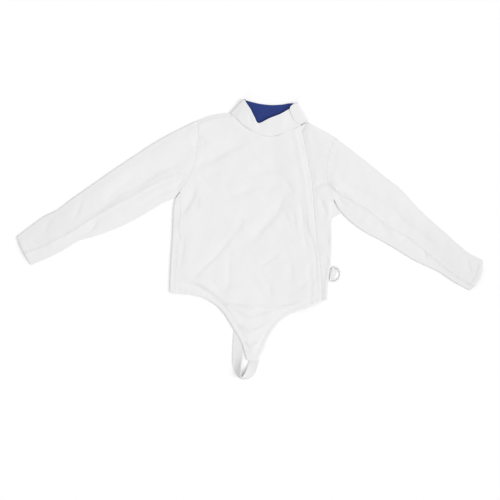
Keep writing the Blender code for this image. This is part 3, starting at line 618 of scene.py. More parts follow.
hole = curve(armhole(RIGHT_SLEEVE, 1)[:23], 86)
left_edge = joined(hole, curve([tuple(hole[-1]), *RIGHT_SIDE_SEAM], 122) + [SEAM / 2, 0])
top_edge = joined(curve(RIGHT_SHOULDER, 42), curve(FRONT_NECK, 132))
right_edge = joined(curve(FLY_TOP, 14), curve(FLY_EDGE, 194))
bottom_edge = joined(curve(FRONT_HEM, 42), curve(TONGUE_RIGHT, 46), curve(TONGUE_END, 14),
                     curve(TONGUE_LEFT, 44), curve(FLY_HEM, 28))
left_edge[0], left_edge[-1] = top_edge[0], bottom_edge[0]
top_edge[-1], bottom_edge[-1] = right_edge[0], right_edge[-1]
plan = closer_at_edges(patch(top_edge, bottom_edge, left_edge, right_edge))
front_right = sewn_shell("front_right_cloth", raised(plan, right_front_height), CLOTH, white_twill, plan)
dress(front_right, "front_right")
for edge, count, offset, first, last in (
        (FRONT_HEM + TONGUE_RIGHT[1:], 150, HEM_STITCH, 3, -6),
        (TONGUE_LEFT + FLY_HEM[1:], 120, HEM_STITCH, 6, -3),
        (TONGUE_END, 12, HEM_STITCH, 0, None),
        (FLY_EDGE[1:], 200, -PLACKET_STITCH, 0, -3),
        (FLY_EDGE[1:], 200, -EDGE_STITCH, 0, -3)):
    stitched(inside(curve(edge, count), offset)[first:last], right_front_height)
for offset in ARMHOLE_STITCHES:
    stitched(inside(evenly(hole, 90), offset)[3:], right_front_height)

# The wearer's left front, of the same twill. Its edge with the zip lies flat under the fly, and at the
# side it turns under the jacket.
WRAP_LEFT = 14  # how far the left front goes under
LEFT_SIDE_TOP = [(253, 105), (249, 82), (245, 55)]
LEFT_SIDE = [(245, 55), (246, -11), (243, -77), (236, -125), (233, -180)]
LEFT_NECK = [(123, 326), (141, 333), (159, 342), (177, 350)]
LEFT_SHOULDER = [(177, 350), (210, 332), (255, 307)]
LEFT_HEM = [(181, -196), (215, -187), (233, -180)]
LEFT_SLEEVE = [SleeveRow(*row) for row in (
    (257, 305, 257, 110, 57, -26),
    (300, 272, 270, 88, 50, -12),
    (348, 235, 300, 55, 59, -4),
    (402, 191, 342, 24, 62, 0),
    (456, 148, 390, -2, 49, 0),
    (504, 95, 441, -31, 50, 0),
    (552, 50, 489, -61, 45, 0),
    (591, 16, 531, -81, 32, 2),
    (624, -14, 570, -100, 21, 4),
    (660, -43, 615, -130, 18, 8),
    (699, -63, 661, -154, 15, 13),
)]


def left_front_height(points):
    """Height of the middle of the left front's wall: flat under the fly, and soft beyond it."""
    side, armpit, shoulder = gaps(points, LEFT_SIDE, LEFT_SIDE_TOP, LEFT_NECK[2:] + LEFT_SHOULDER[1:])
    hole, _, hole_run = distance(points, armhole(LEFT_SLEEVE, -1))
    bottom, _, bottom_run = distance(points, through(LEFT_HEM))
    beyond = past_fly_edge(points)
    past_fly = smoothstep((beyond - 2) / 55)
    hem = smoothstep((points[:, 1] + 186) / 26)
    eased_up = smoothstep(shoulder / SEAM_EASE) * smoothstep(armpit / SEAM_EASE)
    round_side = (1 - smoothstep((side - 4) / 14)) * (points[:, 1] < 58)
    lift = (AT_EDGE - ON_BACK) * np.maximum(past_fly * eased_up * hem, round_side)
    free = smoothstep((beyond - 5) / 12) * eased_up * hem * smoothstep(side / 14)
    sewn = past_fly * (hem_relief(bottom, bottom_run, HEM_STITCH) + puckered(hole, hole_run, 14, 0.5))
    loose = free * (0.5 * BODY_PUFF + folded_by(points, BODY_FOLDS) + rumpled(points, 23))
    return ON_BACK + np.maximum(lift + loose, 0) + sewn


def turned_over(edge, outward, end, height):
    """Columns that carry a grid's edge column round a rounded edge, then flat on to a line in plan.

    edge holds the last points before the turn, outward the way out of the outline at each of them, end
    the plan points where the cloth stops, and height gives its height past the turn.
    """
    flat = [edge[:, :2] + share * (end - edge[:, :2]) for share in np.linspace(0, 1, 6)]
    past = [raised(line[:, None], height)[:, 0] for line in flat]
    columns = []
    for angle in np.linspace(0, math.pi, 9)[1:-1]:
        share = (1 - math.cos(angle)) / 2
        plan = edge[:, :2] + EDGE_ROUND * math.sin(angle) * outward
        columns.append(np.column_stack([plan, edge[:, 2] + share * (past[0][:, 2] - edge[:, 2])]))
    return np.stack([*columns, *past], axis=1)


def with_turn(grid, turn, first, at_left):
    """A grid with the columns of a turn added on one side, from row first down, and which cells are cloth."""
    edge = grid[:, 0] if at_left else grid[:, -1]
    above = turn[:1] + (edge[:first] - edge[first])[:, None]
    added = np.concatenate([above, turn], axis=0)
    present = np.ones((len(grid) - 1, grid.shape[1] + turn.shape[1] - 1), bool)
    if at_left:
        present[:first, :turn.shape[1]] = False
        return np.concatenate([added[:, ::-1], grid], axis=1), present
    present[:first, -turn.shape[1]:] = False
    return np.concatenate([grid, added], axis=1), present


def side_normals(line, side):
    """Unit vectors in plan that point out of the jacket's outline along one of its sides."""
    step = np.gradient(line, axis=0)
    out = np.stack([-step[:, 1], step[:, 0]], axis=1) * side
    return out / np.linalg.norm(out, axis=1)[:, None]


hole = curve(armhole(LEFT_SLEEVE, -1)[:-1], 74)
armpit = curve(LEFT_SIDE_TOP, 24)
hole[-1] = armpit[0]
side = curve(LEFT_SIDE, 100)
out = side_normals(side, 1)
edge = side - EDGE_INSET * out
armpit[-1] = edge[0]
right_edge = joined(hole, armpit, edge)
left_edge = curve([LEFT_NECK[0], *[(x - UNDERLAP, y) for x, y in FLY_EDGE[1:]]], len(right_edge) - 1)
left_edge[-1] = LEFT_HEM[0]
top_edge = joined(curve(LEFT_NECK, 28), curve(LEFT_SHOULDER, 36))
bottom_edge = curve([*LEFT_HEM[:-1], tuple(right_edge[-1])], len(top_edge) - 1)
top_edge[0], top_edge[-1] = left_edge[0], right_edge[0]
grid = raised(patch(top_edge, bottom_edge, left_edge, right_edge), left_front_height)
first = len(hole) + len(armpit) - 2
turn = turned_over(grid[first:, -1], out, edge - (WRAP_LEFT - EDGE_INSET) * out, ON_FLOOR)
grid, present = with_turn(grid, turn, first, at_left=False)
front_left = sewn_shell("front_left_cloth", grid, CLOTH, white_twill, grid[:, :, :2], present)
dress(front_left, "front_left")
for offset in ARMHOLE_STITCHES:
    stitched(inside(evenly(hole, 70), -offset)[3:-3], left_front_height)
stitched(inside(curve(LEFT_HEM, 30), HEM_STITCH)[18:-2], left_front_height)

# The back, one panel of the same twill, flat on the floor. At the wearer's right side it turns up on to
# the front, as far as the side seam.
BACK_NECK = [(-58, 377), (-21, 356), (12, 348), (54, 345), (102, 346), (145, 349), (177, 350)]
UNDERARM_TOP = [(254, 107), (266, 86), (273, 78)]
UNDERARM_BOTTOM = [(273, 78), (258, 69), (242, 62), (229, 58)]

right_armhole = curve(armhole(RIGHT_SLEEVE, 1), 48)
side = curve(RIGHT_SIDE, 78)
out = side_normals(side, -1)
left_edge = joined(right_armhole, side - EDGE_INSET * out)
left_edge[48] = side[0] - EDGE_INSET * out[0]
under_seam = curve([(x - WRAP_LEFT - SEAM, y) for x, y in LEFT_SIDE], 60)
under_seam[0] = UNDERARM_BOTTOM[-1]
left_armhole = curve(armhole(LEFT_SLEEVE, -1)[:-1], 48)
left_armhole[-1] = UNDERARM_TOP[0]
right_edge = joined(left_armhole, curve(UNDERARM_TOP, 6), curve(UNDERARM_BOTTOM, 12), under_seam)
top_edge = joined(curve(RIGHT_SHOULDER, 24), curve(BACK_NECK, 54), curve(LEFT_SHOULDER, 24))
top_edge[0], top_edge[-1] = left_edge[0], right_edge[0]
bottom_edge = curve([tuple(left_edge[-1]), *BACK_HEM[1:-1], tuple(right_edge[-1])], len(top_edge) - 1)
grid = raised(patch(top_edge, bottom_edge, left_edge, right_edge), ON_FLOOR)
wrapped = curve([(-210.3, 141), *RIGHT_SIDE_SEAM], 78) - [SEAM / 2, 0]
turn = turned_over(grid[48:, 0], out, wrapped, right_front_height)
grid, present = with_turn(grid, turn, 48, at_left=True)
back = sewn_shell("back_cloth", grid, CLOTH, white_twill, grid[:, :, :2], present)
dress(back, "back")
stitched(curve(RIGHT_SIDE_SEAM, 110)[4:-3] - [3.5, 0], right_front_height)

# The sleeves, each of two pieces of the same twill, sewn along the front and the back of the arm and
# pressed flat. The cuffs are turned in and topstitched.
SLEEVE_PUFF = 1.8
SLEEVE_CELL = 2.7  # between the rows of a sleeve's mesh
CUFF_STITCH = 14  # from the cuff's edge
BACK_SEAM_SHARE = 0.7  # of the sleeve's width, from its upper edge
RIGHT_SLEEVE_FOLDS = [Fold(*row) for row in (
    (-192, 236, -340, 171, -488, 65, -5, 17, 0.3),
    (-188, 190, -262, 152, -330, 118, 1.6, 10.1, -0.3),
    (-188, 174, -279, 126, -351, 80, -1.9, 9.2),
    (-496, 141, -507, 107, -530, 53, -1.6, 6.7),
    (-602, 60, -608, 38, -616, 14, -1.5, 10.1),
    (-458, 61, -466, 36, -480, 10, -1.3, 7.6),
    (-463, 50, -481, 14, -506, -4, -1.7, 6.7),
    (-185, 181, -210, 172, -226, 158, -1.3, 6.7),
    (-196, 151, -213, 142, -232, 128, -1.1),
    (-206, 146, -222, 134, -242, 122, 0.8, 6, -0.3),
    (-176, 331, -190, 320, -206, 300, -1.1, 7.6),
    (-172, 300, -177, 278, -176, 256, -0.7),
    (-330, 214, -352, 190, -380, 165, -0.7, 6.7),
    (-400, 60, -415, 48, -432, 40, -0.8),
    (-545, 28, -556, 10, -570, -4, -1),
    (-650, -8, -630, -20, -600, -22, -1.4, 6.7, 0.2),
)]
LEFT_SLEEVE_FOLDS = [Fold(*row) for row in (
    (230, 160, 284, 144, 372, 86, 1.4, 10, -0.2),
    (246, 188, 315, 150, 396, 112, -2.2, 12.6),
    (234, 164, 277, 146, 324, 112, 1.7, 9.2, -0.3),
    (425, 70, 454, 55, 536, 5, -1.2, 12.6, 0.4),
    (392, 41, 412, 24, 428, 9, -1.5, 9.2),
    (648, -47, 660, -84, 665, -108, -1.6, 7.6),
    (422, 101, 447, 70, 467, 46, -1.2, 7.6),
    (489, 35, 533, 2, 566, -31, -0.9, 8.4),
    (445, -9, 472, 2, 489, -15, -1.7, 6, 0.2),
    (516, -26, 526, -47, 533, -72, -1.7),
    (594, 7, 591, -11, 599, -31, -1.1, 8.4),
    (345, 62, 362, 50, 376, 36, -0.9, 7.6),
    (262, 124, 276, 110, 294, 98, -2.2, 8, 0.4),
    (258, 100, 270, 92, 284, 90, 1, 6, -0.3),
    (236, 160, 262, 146, 282, 135, 1.5, 6.7, -0.3),
    (300, 210, 330, 190, 352, 170, -0.6, 7.6),
)]


sleeve_twill = cotton_twill("white_cotton_twill_of_sleeves", greyed_from=0.25)


def weave_of(grid):
    """Each point's place on the flat cloth: how far along its row, and how far down the middle column."""
    steps = np.linalg.norm(np.diff(grid, axis=1), axis=2)
    across = np.concatenate([np.zeros((len(grid), 1)), np.cumsum(steps, axis=1)], axis=1)
    middle = grid.shape[1] // 2
    down = np.concatenate([[0.0], np.cumsum(np.linalg.norm(np.diff(grid[:, middle], axis=0), axis=1))])
    across = across - across[:, middle:middle + 1]
    return np.stack(np.broadcast_arrays(across, down[:, None]), axis=2)


def upper_face(grid, column=0):
    """The face of a cloth's grid that looks up at this column."""
    facing = normals(grid)
    return grid + facing * np.where(facing[:, [column], 2:] < 0, -1, 1) * CLOTH / 2


def sleeve_pieces(side, rows, folds, seed, body_height):
    """The two pieces of a sleeve, a flattened tube split at its front and its back seam.

    At the armhole it lies as high as the body does there, which body_height gives.
    """
    seams = through([(r.seam,) for r in rows])[:, 0]
    middles = through([((r.top_x + r.under_x) / 2, (r.top_y + r.under_y) / 2) for r in rows])
    length = np.linalg.norm(np.diff(middles, axis=0), axis=1).sum()
    turn = np.linspace(0, math.pi, 9)[1:-1]
    alongs, plans, rests = {"top": [], "under": []}, {"top": [], "under": []}, []
    row_shares = eased(round(length / SLEEVE_CELL))
    for row in row_shares:
        ends = sleeve_row(rows, row, [0, 1])
        width = float(np.linalg.norm(ends[1] - ends[0]))
        back_seam = BACK_SEAM_SHARE * width
        front_seam = width - float(np.interp(row, np.linspace(0, 1, len(seams)), seams))
        far = EDGE_INSET + (front_seam - SEAM / 2 - EDGE_INSET) * eased(58)
        near = front_seam + SEAM / 2 + (width - EDGE_INSET - front_seam - SEAM / 2) * eased(28)
        alongs["top"].append(np.concatenate([far[::-1], EDGE_INSET - EDGE_ROUND * np.sin(turn),
                                             np.linspace(EDGE_INSET, back_seam - SEAM / 2, 24)]))
        alongs["under"].append(np.concatenate([near, width - EDGE_INSET + EDGE_ROUND * np.sin(turn),
                                               np.linspace(width - EDGE_INSET, back_seam + SEAM / 2, 14)]))
        for piece in plans:
            plans[piece].append(sleeve_row(rows, row, alongs[piece][-1] / width))
        rests.append((row * length, width, front_seam))
    down, width, front_seam = np.array(rests).T[:, :, None]
    pieces = {}
    for piece, upper_columns in (("top", 59), ("under", 29)):
        along, plan = np.array(alongs[piece])[:, :upper_columns], np.array(plans[piece])
        upper = plan[:, :upper_columns].reshape(-1, 2)
        soft = smoothstep((np.minimum(along, width - along) - EDGE_INSET) / 30)
        beside = abs(along - front_seam)
        level, ahead = down + 0 * along, down.max() - down + 0 * along
        sewn = 1.2 * np.exp(-(beside / 4.5) ** 2) - 0.4 * np.exp(-(beside / 1.2) ** 2)
        sewn += puckered(beside, level, 9, 0.2)
        sewn += puckered(level, along, 14, 0.5) + hem_relief(ahead, along, CUFF_STITCH)
        loose = SLEEVE_PUFF + (folded_by(upper, folds) + rumpled(upper, seed)).reshape(along.shape)
        height = AT_EDGE + soft * (loose + sewn)
        near_body = 1 - smoothstep(down / 34)
        rows_near = int((near_body[:, 0] > 0).sum())
        at_body = body_height(plan[:rows_near, :upper_columns].reshape(-1, 2)).reshape(rows_near, -1)
        height[:rows_near] += near_body[:rows_near] * (at_body - height[:rows_near])
        height = np.maximum(height, ON_BACK)
        turned = height[:, -1:] + (1 - np.cos(turn)) / 2 * (ON_FLOOR - height[:, -1:])
        lower = np.full((len(plan), plan.shape[1] - upper_columns - len(turn)), ON_FLOOR)
        pieces[piece] = np.concatenate([plan, np.hstack([height, turned, lower])[:, :, None]], axis=2)
    made = {}
    for piece, grid in pieces.items():
        made[piece] = sewn_shell(f"sleeve_{side}_{piece}_cloth", grid, CLOTH, sleeve_twill, weave_of(grid))
        dress(made[piece], f"sleeve_{side}_{piece}")
        beside_seam, flat_columns = (4, 58) if piece == "top" else (2, 28)
        cuff_row = np.argmin(abs((1 - row_shares) * length - CUFF_STITCH))
        stitch_rows.append(upper_face(grid)[3:-2, beside_seam])
        stitch_rows.append(upper_face(grid)[cuff_row, 1:flat_columns])
    return made


right = sleeve_pieces("right", RIGHT_SLEEVE, RIGHT_SLEEVE_FOLDS, 31, right_front_height)
left = sleeve_pieces("left", LEFT_SLEEVE, LEFT_SLEEVE_FOLDS, 47, left_front_height)

# The stand collar, two layers of twill sewn to the neckline. It is pressed flat: its front lies in a
# trough over its back. Inside it is lined with royal blue cotton, whose edge shows along the top.
LINING = 1.2
NeckRow = namedtuple("NeckRow", "share top_x top_y top_z")
CollarRow = namedtuple("CollarRow", "neck_x neck_y top_x top_y neck_z top_z")
COLLAR_FRONT = [NeckRow(*row) for row in (
    (0.915, 139, 397, 9.0),
    (0.820, 118, 390, 9.5),
    (0.693, 91, 375, 12.0),
    (0.561, 58, 362, 12.5),
    (0.444, 26, 348, 9.0),
    (0.316, 13, 367, 12.5),
    (0.199, 2, 389, 14.5),
    (0.092, -9, 405, 13.5),
    (0.030, -15, 416, 12.0),
)]
COLLAR_BACK = [CollarRow(*row) for row in (
    (-51, 374, -12, 416, ON_FLOOR, ON_FLOOR),
    (-21, 357, 6, 411, ON_FLOOR, ON_FLOOR),
    (12, 349, 33, 405, ON_FLOOR, ON_FLOOR),
    (54, 346, 63, 402, ON_FLOOR, ON_FLOOR),
    (96, 347, 93, 403, ON_FLOOR, ON_FLOOR),
    (138, 350, 118, 407, ON_FLOOR, ON_FLOOR),
    (158, 352, 132, 408, ON_FLOOR, ON_FLOOR),
)]
COLLAR_FOLD_RIGHT = [(-60, 379), (-19, 422)]
COLLAR_STITCH = 5.5  # from the top edge
COLLAR_SHARES = eased(18, 0.5)  # down the collar from its top edge, one for each row of its mesh
COLLAR_FOLDS = [Fold(*row) for row in (
    (0, 380, 2, 360, 13, 343, -1.8, 5, 0),
    (44, 322, 63, 320, 78, 323, -0.9, 4, 0),
    (96, 345, 100, 357, 102, 372, 0.8, 7, 0),
)]
LINING_BLUE = "#2A3F86"
LINING_SHADE = "#22336F"


def sewn_to_neck(rows):
    """Collar rows whose neck points are on the front's neckline.

    They are as high as it lies there, and stand a little proud of it on the wearer's right.
    """
    neck = through(FRONT_NECK)
    places = []
    for row in rows:
        run = evenly(neck, 400)[round(row.share * 400)]
        top = np.array([row.top_x, row.top_y], float)
        proud = 1.7 * smoothstep((row.share + 0.02) / 0.1) * (1 - smoothstep((row.share - 0.28) / 0.2))
        height = float(right_front_height(run[None])[0]) + proud
        run = run + (top - run) / np.linalg.norm(top - run) * SEAM
        places.append(CollarRow(*run, *top, height, row.top_z))
    return places


def stations(rows, count):
    """Rows of a collar table as count + 1 pairs of points, neck and top edge, spread along the collar."""
    table = curve(rows, count)
    return np.stack([table[:, [0, 1, 4]], table[:, [2, 3, 5]]], axis=1)


def folded(first, last, fold):
    """Stations that carry the collar from one station to another round a fold line at the outline."""
    fold = np.array(fold, float)
    step = fold[1] - fold[0]
    out = np.array([-step[1], step[0]]) / np.hypot(*step)
    if (fold[0] - first[0, :2]) @ out < 0:
        out = -out
    reach = ((fold - first[:, :2]) @ out - CLOTH / 2)[:, None]
    made = []
    for angle in np.linspace(0, math.pi, 13)[1:-1]:
        station = first + (1 - math.cos(angle)) / 2 * (last - first)
        station[:, :2] += reach * math.sin(angle) * out
        made.append(station)
    return np.array(made)


def between(strip):
    """The collar's grid for a strip of stations, from its top edge down to its neck seam."""
    return strip[None, :, 1] + COLLAR_SHARES[:, None, None] * (strip[None, :, 0] - strip[None, :, 1])


def plain_weave(name, colour, shade, thread, roughness=0.85):
    """Plainly woven thread with slight streaks: matt as cotton is, or smoother where roughness says so.

    thread is the step of its over-and-under relief in mm.
    """
    material = new_material(name)
    tree = material.node_tree
    place = add_node(tree, "ShaderNodeTexCoord").outputs["UV"]
    threads = {"Vector": place, "Scale": bands(thread)}
    warp = add_node(tree, "ShaderNodeTexWave", threads, bands_direction="X")
    weft = add_node(tree, "ShaderNodeTexWave", threads, bands_direction="Y")
    woven = add_node(tree, "ShaderNodeMath", {0: warp.outputs["Fac"], 1: weft.outputs["Fac"]},
                     operation="MULTIPLY")
    streaks = add_node(tree, "ShaderNodeTexNoise", {"Vector": place, "Scale": 90.0, "Detail": 4.0})
    tint = add_node(tree, "ShaderNodeMix", {
        "Factor": streaks.outputs["Fac"], MIX_A: linear(colour), MIX_B: linear(shade)}, data_type="RGBA")
    relief = add_node(tree, "ShaderNodeBump", {
        "Height": woven.outputs["Value"], "Strength": 0.3, "Distance": 0.0003})
    surface = add_node(tree, "ShaderNodeBsdfPrincipled", {
        "Base Color": tint.outputs[MIXED], "Roughness": roughness, "Specular IOR Level": 0.25,
        "Sheen Weight": 0.2, "Normal": relief.outputs["Normal"]})
    add_node(tree, "ShaderNodeOutputMaterial", {"Surface": surface.outputs["BSDF"]})
    return material


front = stations(sewn_to_neck(COLLAR_FRONT), 72)
back_stations = stations(COLLAR_BACK, 60)
strip = np.concatenate([front, folded(front[-1], back_stations[0], COLLAR_FOLD_RIGHT), back_stations])
grid = between(strip)
front_columns = len(front)
flat = grid[:, :front_columns, :2].reshape(-1, 2)
fade = np.sin(np.pi * np.linspace(0, 1, front_columns)) ** 0.4
bulge = np.sin(np.pi * COLLAR_SHARES)[:, None] * fade[None]
relief = folded_by(flat, COLLAR_FOLDS).reshape(bulge.shape) + 0.6 * bulge
relief += 0.5 * rumpled(flat, 5).reshape(bulge.shape) * bulge
grid[:, :front_columns, 2] += relief * fade[None]
collar = sewn_shell("collar_cloth", grid, CLOTH, white_twill, weave_of(grid))
dress(collar, "collar")
stand = np.linalg.norm(strip[:, 1] - strip[:, 0], axis=1).mean()
for stitch_row in (COLLAR_STITCH, stand - 4):
    row = int(np.argmin(abs(COLLAR_SHARES * stand - stitch_row)))
    stitch_rows.append(upper_face(grid)[row, 2:front_columns - 2])

inward = normals(grid)[:, 2:-1] * (CLOTH / 2 + APART / 2 + LINING / 2)
side_of_lining = 1.0 if inward[9, -1, 2] > 0 else -1.0
lining_grid = grid[:, 2:-1] + side_of_lining * inward
peek = lining_grid[0] - lining_grid[1]
lining_grid[0] += 0.9 * peek / np.linalg.norm(peek, axis=1, keepdims=True)
lining_grid[-1] += 0.3 * (lining_grid[-2] - lining_grid[-1])
blue_cotton = plain_weave("royal_blue_cotton", LINING_BLUE, LINING_SHADE, 1.2)
lining = sewn_shell("collar_lining_cloth", lining_grid, LINING, blue_cotton, weave_of(lining_grid))
dress(lining, "collar_lining")

# The collar's closing flap, a tongue of the same twill that comes round from the back collar and is
# pressed down over the front's end with a hook and loop patch.
COLLAR_FOLD_LEFT = [(175, 357), (147, 408)]
COLLAR_FLAP = [CollarRow(*row) for row in (
    (168, 353, 141, 406, 11.5, 12.4),
    (155, 345, 130, 404, 11.6, 12.4),
    (142, 347, 122, 398, 11.6, 12.2),
    (131, 357, 118, 388, 11.9, 12.0),
)]

flap = stations(COLLAR_FLAP, 26)
start = flap[:1].copy()
start[:, :, 2] = ON_FLOOR
seam = back_stations[-1:] + (start - back_stations[-1:]) * 0.12
strip = np.concatenate([seam, start, folded(start[0], flap[0], COLLAR_FOLD_LEFT), flap])
grid = between(strip)
bulge = np.sin(np.pi * COLLAR_SHARES)[:, None] * np.linspace(1, 0, len(flap))[None] ** 0.5
grid[:, -len(flap):, 2] += 0.5 * bulge
collar_flap = sewn_shell("collar_flap_cloth", grid, CLOTH, white_twill, weave_of(grid))
dress(collar_flap, "collar_flap")
face = upper_face(grid, -1)
for row in (2, -3):
    stitch_rows.append(face[row, -len(flap) + 1:-2])
stitch_rows.append(face[2:-2, -3])

# The zip: a woven polyester tape, sewn flat to the left front under the fly, with the zip's two rows of
# nylon coil along its middle, each coil's turns held between the other's. The fly hides it.
ZIP_WIDTH = 24
COIL_PITCH = 1.5  # from one turn of a coil to the next
COIL_TURN = (0.9, 3.2, 1.2)  # along the tape, across it, and high
TAPE_WHITE = "#E9E9E8"
TAPE_SHADE = "#E0E0E0"
COIL_NYLON = "#EDEDEB"
COIL_SHADE = "#E2E2E0"


def spaced_beads_tree():
    """Lays rounded beads end to end, at even steps, along each line of a mesh."""
    tree = bpy.data.node_groups.new("rows of beads", "GeometryNodeTree")
    tree.interface.new_socket("Rows", in_out="INPUT", socket_type="NodeSocketGeometry")
    for name in ("Step", "Length", "Width", "Height"):
        tree.interface.new_socket(name, in_out="INPUT", socket_type="NodeSocketFloat")
    tree.interface.new_socket("Material", in_out="INPUT", socket_type="NodeSocketMaterial")
    tree.interface.new_socket("Beads", in_out="OUTPUT", socket_type="NodeSocketGeometry")
    given = add_node(tree, "NodeGroupInput").outputs
    rows = add_node(tree, "GeometryNodeMeshToCurve", {"Mesh": given["Rows"]})
    places = add_node(tree, "GeometryNodeResampleCurve", {"Curve": rows.outputs["Curve"],
                                                          "Length": given["Step"]}, mode="LENGTH")
    ahead = add_node(tree, "GeometryNodeInputTangent")
    turned = add_node(tree, "FunctionNodeAlignRotationToVector", {"Vector": ahead.outputs["Tangent"]},
                      axis="X")
    size = add_node(tree, "ShaderNodeCombineXYZ", {"X": given["Length"], "Y": given["Width"],
                                                   "Z": given["Height"]})
    ball = add_node(tree, "GeometryNodeMeshUVSphere", {"Segments": 6, "Rings": 4, "Radius": 0.5})
    bead = add_node(tree, "GeometryNodeTransform", {"Geometry": ball.outputs["Mesh"],
                                                    "Scale": size.outputs["Vector"]})
    placed = add_node(tree, "GeometryNodeInstanceOnPoints", {
        "Points": places.outputs["Curve"], "Instance": bead.outputs["Geometry"],
        "Rotation": turned.outputs["Rotation"]})
    real = add_node(tree, "GeometryNodeRealizeInstances", {"Geometry": placed.outputs["Instances"]})
    finished = add_node(tree, "GeometryNodeSetMaterial", {"Geometry": real.outputs["Geometry"],
                                                          "Material": given["Material"]})
    add_node(tree, "NodeGroupOutput", {"Beads": finished.outputs["Geometry"]})
    return tree


def beaded(name, rows, tree, inputs):
    """The plain mesh that a tree makes along rows of points in mm, with these named inputs."""
    points = in_frame(np.vstack(rows))
    ends = np.cumsum([len(row) for row in rows])
    edges = [(k, k + 1) for k in range(len(points) - 1) if k + 1 not in ends]
    rows_mesh = bpy.data.meshes.new(name)
    rows_mesh.from_pydata(points.tolist(), edges, [])
    made = add_object(name, rows_mesh)
    modifier = made.modifiers.new(tree.name, "NODES")
    modifier.node_group = tree
    for item in tree.interface.items_tree:
        if item.in_out == "INPUT" and item.name in inputs:
            modifier[item.identifier] = inputs[item.name]
    graph = bpy.context.evaluated_depsgraph_get()
    mesh = bpy.data.meshes.new_from_object(made.evaluated_get(graph), depsgraph=graph)
    made.modifiers.remove(modifier)
    made.data = mesh
    mesh.shade_smooth()
    return made


zip_height = ON_BACK + CLOTH / 2 + APART + TAPE / 2
middle = curve([(x - ZIP_INSET, y) for x, y in FLY_EDGE[1:]], 240)[:-10]
across_tape = np.linspace(-ZIP_WIDTH / 2, ZIP_WIDTH / 2, 11)
grid = raised(middle[:, None] + across_tape[None, :, None] * [1, 0], zip_height)
tape_white = plain_weave("white_woven_tape", TAPE_WHITE, TAPE_SHADE, 1.0)
zip_tape = sewn_shell("front_zip_tape", grid, TAPE, tape_white, weave_of(grid))
dress(zip_tape, "front_zip")
beads_tree = spaced_beads_tree()
coil_nylon = plain_weave("white_nylon_coil", COIL_NYLON, COIL_SHADE, 0.5, 0.4)
coil_height = zip_height + TAPE / 2 + COIL_TURN[2] / 2 - 0.1
coils = []
for sideways, start in ((-1.0, 3), (1.0, 4)):
    line = middle[start:-4] + [sideways, 0]
    coils.append(np.column_stack([line, np.full(len(line), coil_height)]))
coil = beaded("front_zip_coil", coils, beads_tree, {
    "Step": COIL_PITCH * MM, "Length": COIL_TURN[0] * MM, "Width": COIL_TURN[1] * MM,
    "Height": COIL_TURN[2] * MM, "Material": coil_nylon})
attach(coil, "jacket")

# The crotch elastic, a 30 mm ribbed band. It is sewn to the tongue's end and to the back's hem, and it
# stands on its edge where it turns round.
STRAP_WIDTH = 30
RIB_WIDTH = 2.4
COVER_THREAD = 1.1
ELASTIC_WHITE = "#EEEEEE"
# the darker colour is painted shade in the grooves between the ribs
ELASTIC_PAINTED_GROOVE_SHADE = "#E0E0E1"


def ribbed_elastic(name):
    """Woven elastic: rubber cords under a white cover, which give it ribs along its length."""
    material = new_material(name)
    tree = material.node_tree
    place = add_node(tree, "ShaderNodeTexCoord").outputs["UV"]
    ribs = add_node(tree, "ShaderNodeTexWave", {"Vector": place, "Scale": bands(RIB_WIDTH)},
                    bands_direction="Y")
    cover = add_node(tree, "ShaderNodeTexWave", {
        "Vector": place, "Scale": bands(COVER_THREAD), "Distortion": 0.5}, bands_direction="X")
    # The grooves between the ribs get the darker colour as painted shade, and the rib tops keep the white.
    colour = add_node(tree, "ShaderNodeMix", {
        "Factor": ribs.outputs["Fac"], MIX_A: linear(ELASTIC_PAINTED_GROOVE_SHADE), MIX_B: linear(ELASTIC_WHITE)},
        data_type="RGBA")
    fine = add_node(tree, "ShaderNodeBump", {
        "Height": cover.outputs["Fac"], "Strength": 0.2, "Distance": 0.0003})
    relief = add_node(tree, "ShaderNodeBump", {
        "Height": ribs.outputs["Fac"], "Strength": 0.5, "Distance": 0.0005,
        "Normal": fine.outputs["Normal"]})
    surface = add_node(tree, "ShaderNodeBsdfPrincipled", {
        "Base Color": colour.outputs[MIXED], "Roughness": 0.75, "Specular IOR Level": 0.35,
        "Normal": relief.outputs["Normal"]})
    add_node(tree, "ShaderNodeOutputMaterial", {"Surface": surface.outputs["BSDF"]})
    return material


outer, inner = strap_lines(240)
shares = np.linspace(0, 1, 13)[:, None, None]
grid = outer[None] + shares * (inner - outer)[None]
grid[:, :, 2] += (shares**2.2 - shares)[:, :, 0] * (inner - outer)[None, :, 2]
run = np.concatenate([[0.0], np.cumsum(np.linalg.norm(np.diff(outer, axis=0), axis=1))])
weave = np.stack(np.broadcast_arrays(run[None, :], shares[:, :, 0] * STRAP_WIDTH), axis=2)
strap = sewn_shell("crotch_strap_elastic", grid, STRAP_WALL, ribbed_elastic("white_ribbed_elastic"), weave)
dress(strap, "crotch_strap")

# The D-ring, nickel-plated steel wire bent to a bar and a bow. It turns in the tape tab on its bar, and
# at rest its bow lies down on the floor.
RING_OUTSIDE = 47
RING_CORNER = 4.0
BOW_CENTRE = 5.8
RING_TILT = math.radians(13.5)
NICKEL = "#EFEEEB"


def nickel_plate(name):
    """Bright nickel plate on steel wire, a little warm, with fine scuffs that blur its reflections."""
    material = new_material(name)
    tree = material.node_tree
    place = add_node(tree, "ShaderNodeTexCoord").outputs["Object"]
    scuffs = add_node(tree, "ShaderNodeTexNoise", {"Vector": place, "Scale": 900.0, "Detail": 6.0})
    dulled = add_node(tree, "ShaderNodeMapRange", {
        "Value": scuffs.outputs["Fac"], "To Min": 0.42, "To Max": 0.6})
    surface = add_node(tree, "ShaderNodeBsdfPrincipled", {
        "Base Color": linear(NICKEL), "Metallic": 1.0, "Roughness": dulled.outputs["Result"]})
    add_node(tree, "ShaderNodeOutputMaterial", {"Surface": surface.outputs["BSDF"]})
    return material


